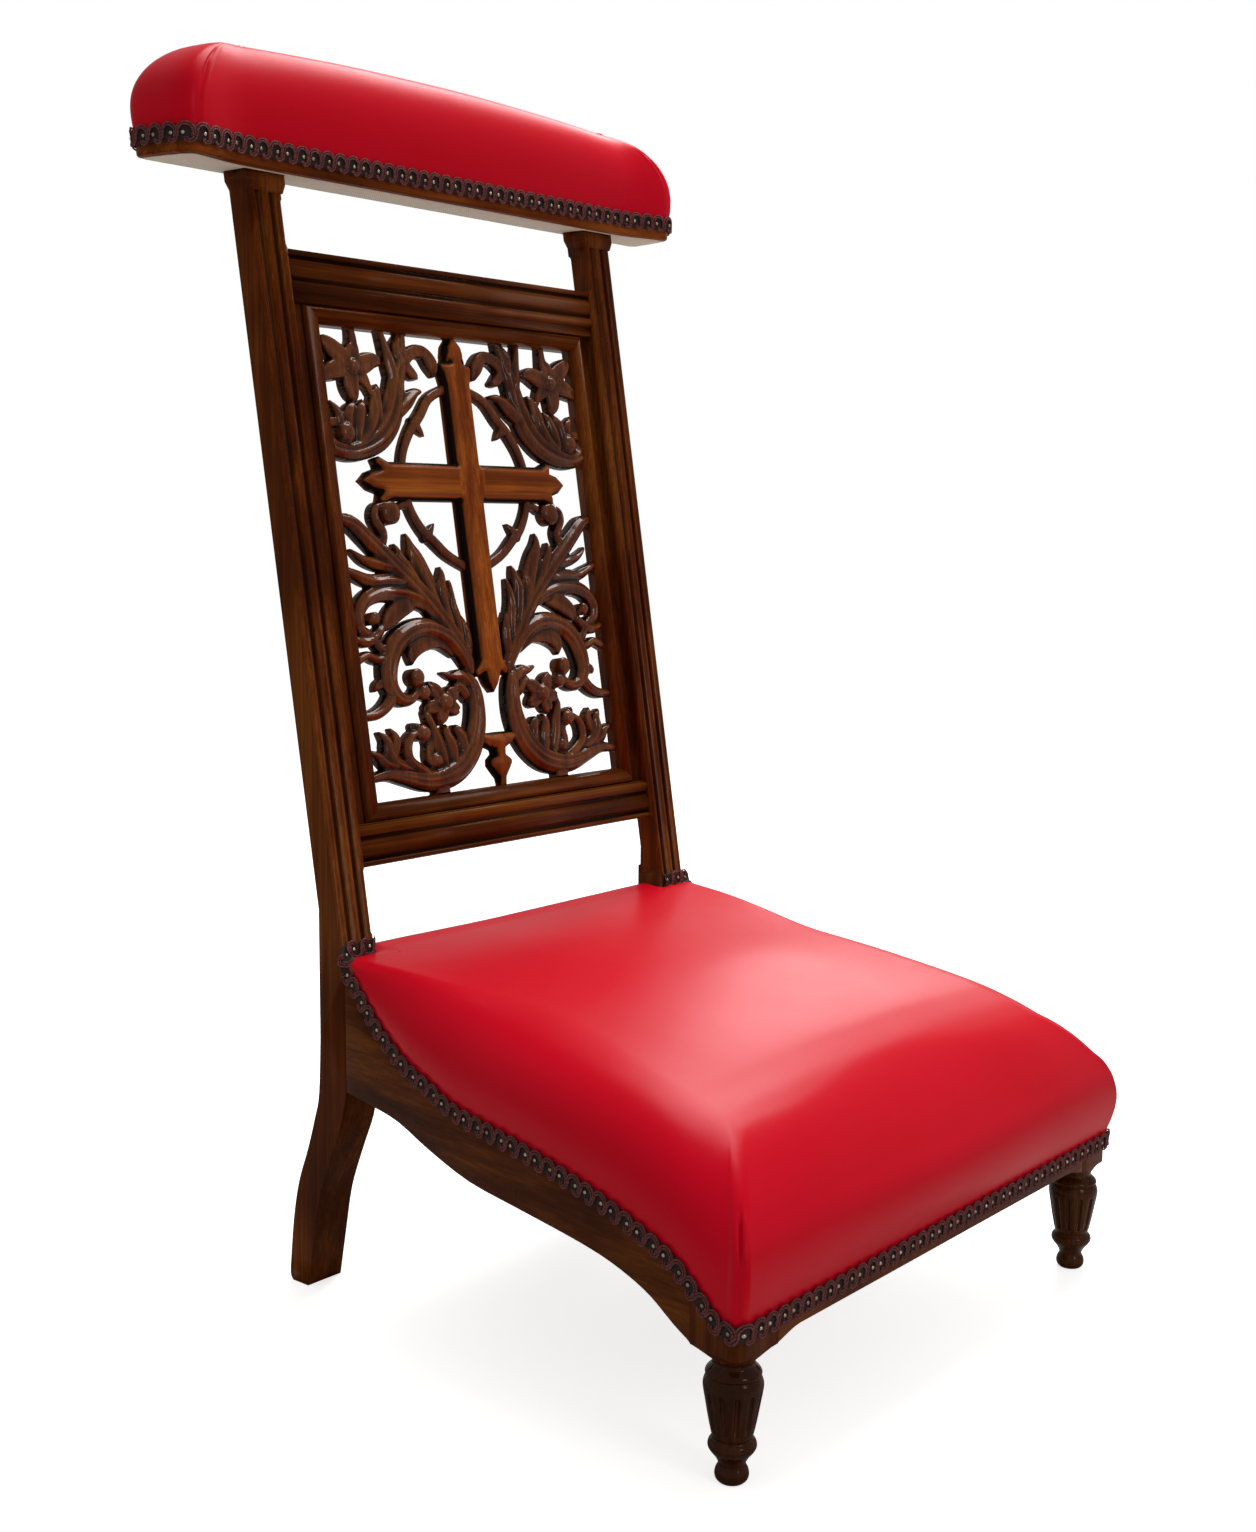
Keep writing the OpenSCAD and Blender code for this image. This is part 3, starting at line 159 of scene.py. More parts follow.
# Heights of the S-shaped lines, as shares of the way back and of the rise
RISE_SHARES = [
    (0, 0), (0.035, 0.006), (0.06, 0.05), (0.09, 0.11), (0.13, 0.185), (0.18, 0.24), (0.28, 0.32),
    (0.38, 0.375), (0.51, 0.43), (0.67, 0.485), (0.74, 0.55), (0.81, 0.615), (0.88, 0.73),
    (0.92, 0.82), (0.96, 0.92), (1, 1),
]
TOP_SHARES = [
    (0, -0.17), (0.068, -0.043), (0.11, 0.036), (0.15, 0.112), (0.195, 0.18), (0.24, 0.245), (0.33, 0.35),
    (0.42, 0.445), (0.51, 0.53), (0.605, 0.615), (0.7, 0.705), (0.8, 0.805), (0.9, 0.9), (1.03, 1),
]


def curve(points, steps):
    """A smooth line through a few points."""
    p = np.asarray(points, float)
    out = []
    for i in range(len(p) - 1):
        a, b, c, d = p[max(i - 1, 0)], p[i], p[i + 1], p[min(i + 2, len(p) - 1)]
        for k in range(steps):
            s = k / steps
            out.append((2 * b + (c - a) * s + (2 * a - 5 * b + 4 * c - d) * s * s
                        + (3 * b - a - 3 * c + d) * s ** 3) / 2)
    return np.array(out + [p[-1]])


def run_of(line):
    """How far along a line each of its points lies."""
    return np.concatenate([[0], np.cumsum(np.linalg.norm(np.diff(line, axis=0), axis=1))])


def unit(ways):
    """The same directions, one long."""
    return ways / np.linalg.norm(ways, axis=1)[:, None]


def evenly(points, count):
    """The same line with its points evenly spaced."""
    p = np.asarray(points, float)
    run = run_of(p)
    at = np.linspace(0, run[-1], count)
    return np.stack([np.interp(at, run, p[:, k]) for k in range(p.shape[1])], axis=1)


RISE_LINE = curve(RISE_SHARES, 4)
TOP_LINE = curve(TOP_SHARES, 4)


def mix(a, b, s):
    return a + (b - a) * s


def way(y):
    """The share of the way from the front of the seat to its back."""
    return (np.asarray(y, float) + FRONT_OUT) / SIDE_LEN


def at_way(t):
    return np.asarray(t, float) * SIDE_LEN - FRONT_OUT


def side_x(y):
    return mix(FRONT_W, BACK_W, way(y)) / 2


def rise(y):
    return np.interp(way(y), RISE_LINE[:, 0], RISE_LINE[:, 1])


def gimp_z(y):
    return mix(*GIMP_RISE, rise(y))


def rail_top(y):
    return mix(*RAIL_TOP, rise(y))


def place(points):
    """Millimetres from the line of the front legs, as metres in the chair's own frame."""
    return (np.asarray(points, float) - (0.0, MIDDLE_Y, 0.0)) * MM


def on_slope(x, v, w):
    """Across, back and up the slope of the back frame, as millimetres from the front legs."""
    x, v, w = np.broadcast_arrays(np.asarray(x, float), v, w)
    y = KNEE_Y + v * math.cos(RAKE) + w * math.sin(RAKE)
    z = KNEE_Z - v * math.sin(RAKE) + w * math.cos(RAKE)
    return np.stack([x, y, z], axis=-1)


def smoothstep(a, b, v):
    t = np.clip((np.asarray(v, float) - a) / (b - a), 0, 1)
    return t * t * (3 - 2 * t)


# Meshes and objects

def show(obj):
    bpy.context.scene.collection.objects.link(obj)
    return obj


def mesh_piece(name, points, faces, material, sharp=None):
    """A finished piece whose points are in millimetres from the front legs."""
    mesh = bpy.data.meshes.new(name)
    mesh.from_pydata(place(points).tolist(), [], faces)
    mesh.materials.append(material)
    mesh.shade_smooth()
    if sharp:
        mesh.set_sharp_from_angle(angle=math.radians(sharp))
    obj = show(bpy.data.objects.new(name, mesh))
    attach(obj, "root")
    return obj


def grid_faces(rows, columns, start=0, closed=False):
    """Quads over rows of points; closed joins the last column to the first."""
    faces = []
    for j in range(rows - 1):
        for i in range(columns if closed else columns - 1):
            a = start + j * columns + i
            b = start + j * columns + (i + 1) % columns
            faces.append((a, b, b + columns, a + columns))
    return faces


def mark(mesh, name, values):
    attribute = mesh.attributes.new(name, "FLOAT", "POINT")
    attribute.data.foreach_set("value", np.asarray(values, np.float32))


def evaluated(obj):
    """What the modifiers make, as a plain mesh."""
    depsgraph = bpy.context.evaluated_depsgraph_get()
    return bpy.data.meshes.new_from_object(obj.evaluated_get(depsgraph))


def apply_modifiers(obj):
    made = evaluated(obj)
    obj.modifiers.clear()
    obj.data = made


def thicken(obj, thick, offset):
    """Gives a surface its thickness in metres."""
    wall = obj.modifiers.new("Thickness", "SOLIDIFY")
    wall.thickness = thick
    wall.offset = offset
    apply_modifiers(obj)


def rework(mesh, work):
    """Opens a mesh, does work on it and writes it back."""
    bm = bmesh.new()
    bm.from_mesh(mesh)
    found = work(bm)
    bm.to_mesh(mesh)
    bm.free()
    return found


# Materials

# Near-black colour laid into the hollows and grooves of the wood as painted shade
PAINTED_SHADE = (0.006, 0.002, 0.001, 1)


def put(tree, kind, inputs=None, **settings):
    """Adds a node; inputs are values, or sockets that it is joined to."""
    made = tree.nodes.new(kind)
    for name, value in settings.items():
        setattr(made, name, value)
    for name, value in (inputs or {}).items():
        if isinstance(value, bpy.types.NodeSocket):
            tree.links.new(value, made.inputs[name])
        else:
            made.inputs[name].default_value = value
    return made


def blend_colour(tree, factor, a, b):
    return put(tree, "ShaderNodeMix", {0: factor, 6: a, 7: b}, data_type="RGBA").outputs[2]


def sums(tree, operation, *values):
    made = put(tree, "ShaderNodeMath", dict(enumerate(values)), operation=operation)
    return made.outputs[0]


def vectors(tree, operation, inputs):
    return put(tree, "ShaderNodeVectorMath", inputs, operation=operation).outputs[0]


def spread(tree, value, low, high, to_low=0.0, to_high=1.0):
    made = put(tree, "ShaderNodeMapRange", {
        "Value": value, "From Min": low, "From Max": high, "To Min": to_low, "To Max": to_high})
    return made.outputs["Result"]


def noise(tree, where, scale, detail=3.0, rough=0.5, warp=0.0):
    made = put(tree, "ShaderNodeTexNoise", {
        "Vector": where, "Scale": scale, "Detail": detail, "Roughness": rough, "Distortion": warp})
    return made.outputs["Fac"]


def new_group(name, inputs, outputs):
    """A shader node group; inputs are (name, kind, default), outputs (name, kind)."""
    group = bpy.data.node_groups.new(name, "ShaderNodeTree")
    for label, kind, default in inputs:
        socket = group.interface.new_socket(label, in_out="INPUT", socket_type="NodeSocket" + kind)
        if default is not None:
            socket.default_value = default
    for label, kind in outputs:
        group.interface.new_socket(label, in_out="OUTPUT", socket_type="NodeSocket" + kind)
    return group, group.nodes.new("NodeGroupInput").outputs, group.nodes.new("NodeGroupOutput")


def give(group, end, **values):
    for name, value in values.items():
        group.links.new(value, end.inputs[name.replace("_", " ")])


def use(tree, group, inputs):
    return put(tree, "ShaderNodeGroup", inputs, node_tree=group).outputs


def new_material(name, **settings):
    """A material with a Principled surface; settings are its plain values."""
    material = bpy.data.materials.new(name)
    material.use_nodes = True
    tree = material.node_tree
    surface = tree.nodes["Principled BSDF"]
    for label, value in settings.items():
        surface.inputs[label.replace("_", " ")].default_value = value
    return material, tree, surface


def feed(tree, surface, colour, rough, height, strength, depth):
    """Joins colour, roughness (or none) and relief to a surface."""
    tree.links.new(colour, surface.inputs["Base Color"])
    if rough is not None:
        tree.links.new(rough, surface.inputs["Roughness"])
    bump = put(tree, "ShaderNodeBump", {"Height": height, "Strength": strength, "Distance": depth})
    tree.links.new(bump.outputs[0], surface.inputs["Normal"])


def here(tree, turn=(0, 0, 0), stretch=(1, 1, 1)):
    """Object coordinates, turned and stretched."""
    at = put(tree, "ShaderNodeTexCoord").outputs["Object"]
    return put(tree, "ShaderNodeMapping", {"Vector": at, "Rotation": turn, "Scale": stretch}).outputs[0]


def mahogany_figure():
    """Grain that runs along Z of the vector it is given, with pores and darker streaks."""
    group, of, end = new_group("Mahogany figure", [
        ("Vector", "Vector", None), ("Dark", "Color", (0.03, 0.01, 0.004, 1)),
        ("Middle", "Color", (0.12, 0.036, 0.009, 1)), ("Light", "Color", (0.2, 0.07, 0.016, 1)),
        ("Gloss", "Float", 0.28)], [("Color", "Color"), ("Roughness", "Float"), ("Height", "Float")])
    at = of["Vector"]
    long_way = put(group, "ShaderNodeMapping", {"Vector": at, "Scale": (1, 1, 0.05)}).outputs[0]
    fine_way = put(group, "ShaderNodeMapping", {"Vector": at, "Scale": (1, 1, 0.014)}).outputs[0]
    bands = noise(group, long_way, 46.0, 4.0, 0.6, 0.35)
    streaks = noise(group, fine_way, 420.0, 3.0, 0.65)
    pores = noise(group, fine_way, 1500.0, 2.0, 0.5)
    cloud = noise(group, at, 9.0, 2.0)
    tone = sums(group, "ADD", sums(group, "MULTIPLY", bands, 0.62), sums(group, "MULTIPLY", cloud, 0.38))
    low = blend_colour(group, spread(group, tone, 0.3, 0.56), of["Dark"], of["Middle"])
    high = blend_colour(group, spread(group, tone, 0.48, 0.72), low, of["Light"])
    lined = blend_colour(group, spread(group, streaks, 0.42, 0.62, 0.42, 0.0), high, of["Dark"])
    pored = blend_colour(group, spread(group, pores, 0.6, 0.7, 0.0, 0.4), lined, of["Dark"])
    rough = sums(group, "ADD", of["Gloss"], spread(group, cloud, 0.3, 0.7, -0.05, 0.09))
    height = sums(group, "SUBTRACT", streaks, sums(group, "MULTIPLY", pores, 0.5))
    give(group, end, Color=pored, Roughness=rough, Height=height)
    return group


def plain_weave():
    """Over and under threads of a plain cloth, along X and Y of its vector."""
    group, of, end = new_group("Plain weave", [
        ("Vector", "Vector", None), ("Threads", "Float", 1400.0), ("Light", "Color", (0.7, 0.65, 0.55, 1)),
        ("Dark", "Color", (0.5, 0.46, 0.38, 1))], [("Color", "Color"), ("Height", "Float")])
    parts = put(group, "ShaderNodeSeparateXYZ", {0: of["Vector"]}).outputs
    waves = [sums(group, "SINE", sums(group, "MULTIPLY", parts[k], of["Threads"])) for k in (0, 1)]
    cross = sums(group, "MULTIPLY", waves[0], waves[1])
    slub = noise(group, of["Vector"], 160.0, 3.0)
    height = sums(group, "ADD", sums(group, "MULTIPLY", cross, 0.5), slub)
    colour = blend_colour(group, spread(group, height, -0.1, 1.1), of["Dark"], of["Light"])
    give(group, end, Color=colour, Height=height)
    return group


TURNS = {"up": (0, 0, 0), "across": (0, math.radians(90), 0), "back": (math.radians(90), 0, 0)}
FINISHES = {}

# Way of the grain, shade, dullness, weight of the lacquer, and the attribute that gives the wear on ridges
# and the painted shade in hollows
WOODS = {
    "upright": ("up", 1.0, 0.27, 0.03),
    "across": ("across", 1.0, 0.27, 0.03),
    "side": ("back", 0.8, 0.27, 0.03),
    "board": ("across", 1.8, 0.27, 0.03),
    "turned": ("up", 0.4, 0.14, 0.25),
    "carved": ("up", 1.0, 0.16, 0.5, "carve_relief"),
    "cross": ("up", 2.2, 0.25, 0.05, "carve_relief"),
    "cross_bar": ("across", 2.0, 0.25, 0.05, "carve_relief"),
}


def wood_material(name, turn, shade, gloss, coat, wear_and_shade=None):
    """French-polished mahogany with its grain along one way."""
    look = bpy.context.scene.prie_wood
    material, tree, surface = new_material(
        name, Coat_Weight=coat, Coat_Roughness=0.1, IOR=1.5, Specular_IOR_Level=0.05,
        Specular_Tint=(1, 0.7, 0.5, 1))
    stained = {}
    for label in ("Dark", "Middle", "Light"):
        stained[label] = (*[min(c * shade, 1) for c in getattr(look, label.lower())], 1)
    figure = use(tree, FINISHES["figure"], {"Vector": here(tree, TURNS[turn]), "Gloss": gloss, **stained})
    colour = figure["Color"]
    rough = figure["Roughness"]
    if wear_and_shade:
        # Ridges are rubbed lighter by wear, and hollows are darkened with painted shade
        cut = put(tree, "ShaderNodeAttribute", attribute_name=wear_and_shade).outputs["Fac"]
        colour = blend_colour(tree, spread(tree, cut, 0.1, -1.3), colour, PAINTED_SHADE)
        colour = blend_colour(tree, spread(tree, cut, 0.5, 2.2, 0, 0.6), colour, (*look.wear_and_shade, 1))
        rough = sums(tree, "ADD", rough, spread(tree, cut, -0.3, -2.0, 0.0, 0.25))
    else:
        # Narrow grooves and the recess beside the stile are darkened with painted shade
        quirk = put(tree, "ShaderNodeAttribute", attribute_name="quirk").outputs["Fac"]
        colour = blend_colour(tree, spread(tree, quirk, 0.5, 1.0, 0, 0.9), colour, PAINTED_SHADE)
    feed(tree, surface, colour, rough, figure["Height"], 0.12, 0.0003)
    return material


def leather_material():
    """Smooth red hide with a fine grain, slight creases and a cloudy colour."""
    look = bpy.context.scene.prie_leather
    material, tree, surface = new_material(
        "red_leather", IOR=1.45, Specular_IOR_Level=look.shine, Specular_Tint=(1, 0.5, 0.55, 1))
    at = here(tree)
    pebbles = put(tree, "ShaderNodeTexVoronoi", {"Vector": at, "Scale": 900.0}).outputs["Distance"]
    pores = noise(tree, at, 1600.0, 2.0)
    cloud = noise(tree, at, 7.0, 3.0)
    colour = blend_colour(tree, cloud, (*look.deep, 1), (*look.bright, 1))
    rough = sums(tree, "ADD", look.rough, spread(tree, cloud, 0.0, 1.0, 0.08, -0.08))
    crease = noise(tree, here(tree, stretch=(1, 1, 0.5)), 90.0, 4.0, 0.6)
    relief = sums(tree, "ADD", sums(tree, "MULTIPLY", pebbles, 0.55), sums(tree, "MULTIPLY", pores, 0.3))
    relief = sums(tree, "ADD", relief, sums(tree, "MULTIPLY", crease, 0.9))
    feed(tree, surface, colour, rough, relief, 0.16, 0.0004)
    return material


def cord_material():
    """Twisted maroon cord, rubbed pinkish in scattered random flecks."""
    look = bpy.context.scene.prie_gimp
    material, tree, surface = new_material(
        "gimp_cord", Roughness=0.75, Sheen_Weight=0.12, Sheen_Roughness=0.5, Sheen_Tint=(1, 0.6, 0.6, 1))
    at = here(tree)
    twist = put(tree, "ShaderNodeTexWave", {"Vector": at, "Scale": 260.0, "Distortion": 3.0, "Detail": 2.0},
                bands_direction="DIAGONAL").outputs["Fac"]
    fluff = noise(tree, at, 500.0, 3.0)
    colour = blend_colour(tree, twist, (*look.shade, 1), (*look.cord, 1))
    colour = blend_colour(tree, spread(tree, fluff, 0.5, 0.75, 0, 0.5), colour, (*look.rubbed, 1))
    feed(tree, surface, colour, None, sums(tree, "ADD", twist, fluff), 0.5, 0.0005)
    return material


def ground_material():
    """The dark woven ground of the gimp."""
    look = bpy.context.scene.prie_gimp
    material, tree, surface = new_material("gimp_ground", Roughness=0.85)
    weave = use(tree, FINISHES["weave"], {
        "Vector": here(tree, (0.6, 0.4, 0.8)), "Threads": 4200.0, "Light": (*look.shade, 1),
        "Dark": (0.006, 0.004, 0.003, 1)})
    feed(tree, surface, weave["Color"], None, weave["Height"], 0.5, 0.0004)
    return material


def nail_material():
    material, tree, surface = new_material("dome_nails", Metallic=1.0)
    at = here(tree)
    tarnish = noise(tree, at, 240.0, 3.0)
    colour = blend_colour(tree, spread(tree, tarnish, 0.4, 0.7), (0.6, 0.52, 0.4, 1), (0.25, 0.18, 0.1, 1))
    feed(tree, surface, colour, spread(tree, tarnish, 0.3, 0.7, 0.18, 0.42), tarnish, 0.1, 0.0002)
    return material


def cloth_material(name, threads, light, dark):
    material, tree, surface = new_material(name, Roughness=0.92)
    at = here(tree)
    weave = use(tree, FINISHES["weave"], {
        "Vector": at, "Threads": threads, "Light": (*light, 1), "Dark": (*dark, 1)})
    stain = noise(tree, at, 14.0, 3.0)
    colour = blend_colour(tree, spread(tree, stain, 0.45, 0.75, 0, 0.35), weave["Color"], (*dark, 1))
    feed(tree, surface, colour, None, weave["Height"], 0.4, 0.0006)
    return material


def make_finishes():
    FINISHES["figure"] = mahogany_figure()
    FINISHES["weave"] = plain_weave()
    for name, wood in WOODS.items():
        FINISHES[name] = wood_material(f"mahogany_{name}", *wood)
    FINISHES["leather"] = leather_material()
    FINISHES["cord"] = cord_material()
    FINISHES["ground"] = ground_material()
    FINISHES["nail"] = nail_material()
    FINISHES["lining"] = cloth_material("lining_cloth", 2600.0, (0.95, 0.9, 0.78), (0.72, 0.67, 0.55))
    FINISHES["jute"] = cloth_material("jute_webbing", 1500.0, (0.5, 0.38, 0.22), (0.26, 0.18, 0.09))
    FINISHES["hessian"] = cloth_material("hessian", 1900.0, (0.5, 0.4, 0.24), (0.2, 0.14, 0.07))


# Wood that keeps its shape from the frame

WOOD_GRAIN = {
    "upright": ["stile_left", "stile_right", "moulding_left", "moulding_right", "corner_post_left",
                "corner_post_right"],
    "across": ["top_rail", "bottom_rail", "moulding_top", "moulding_bottom", "front_rail",
               "back_rail", "corner_braces"],
    "board": ["armrest_board"],
    "side": ["side_rail_left", "side_rail_right"],
    "turned": ["front_leg_left", "front_leg_right"],
}
# How far arrises are eased, in metres; mouldings and turnings keep their own
EASED = {"armrest_board": 0.004, "front_rail": 0.0008, "side_rail_left": 0.0008, "side_rail_right": 0.0008,
         "corner_post_left": 0.0008, "corner_post_right": 0.0008}

# A quirk is a face narrower than this beside a groove longer than this, in metres
QUIRK_W = 0.004
QUIRK_L = 0.03


def paint_node(name, material):
    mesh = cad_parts[name].data
    mesh.materials.clear()
    mesh.materials.append(material)


def mark_quirks(mesh, shaded):
    """Marks the corners of narrow faces along a groove, and other places in shade, to be darkened with
    painted shade.
    """
    bm = bmesh.new()
    bm.from_mesh(mesh)
    depth = np.zeros(len(bm.verts))
    for edge in bm.edges:
        if len(edge.link_faces) == 2 and edge.calc_length() > QUIRK_L:
            fold = -edge.calc_face_angle_signed(0.0)
            for vert in edge.verts:
                depth[vert.index] = max(depth[vert.index], fold)
    values = []
    for face in bm.faces:
        width = 2 * face.calc_area() / max(edge.calc_length() for edge in face.edges)
        for vert in face.verts:
            values.append(max(depth[vert.index] if width < QUIRK_W else 0.0, shaded(vert.co)))
    bm.free()
    attribute = mesh.attributes.new("quirk", "FLOAT", "CORNER")
    attribute.data.foreach_set("value", np.clip(np.array(values, np.float32) / math.radians(75), 0, 1))


def by_the_stile(co):
    """The outer slope of the upright mouldings lies deep beside the stile, and is darkened there with
    painted shade.
    """
    return 1.1 * float(smoothstep(166.0, 172.0, abs(co.x) / MM))


def polished(name, material, eased):
    """A wooden node's own shape with its arrises eased, shown in its place."""
    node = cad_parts[name]
    mesh = node.data.copy()
    rework(mesh, lambda bm: bmesh.ops.remove_doubles(bm, verts=bm.verts[:], dist=0.00001))
    mesh.materials.clear()
    mesh.materials.append(material)
    obj = show(bpy.data.objects.new(name + "_polished", mesh))
    if eased:
        bevel = obj.modifiers.new("Eased arrises", "BEVEL")
        bevel.width = eased
        bevel.segments = 2
        bevel.limit_method = "ANGLE"
        bevel.angle_limit = math.radians(50)
        apply_modifiers(obj)
    mark_quirks(obj.data, by_the_stile if name in ("moulding_left", "moulding_right") else lambda co: 0.0)
    obj.data.shade_smooth()
    obj.data.set_sharp_from_angle(angle=math.radians(38))
    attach(obj, "root")
    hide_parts(name)


# Carving: every cut is a stroke (flutes, lift in mm, [(squares out, squares up, half width), ...])

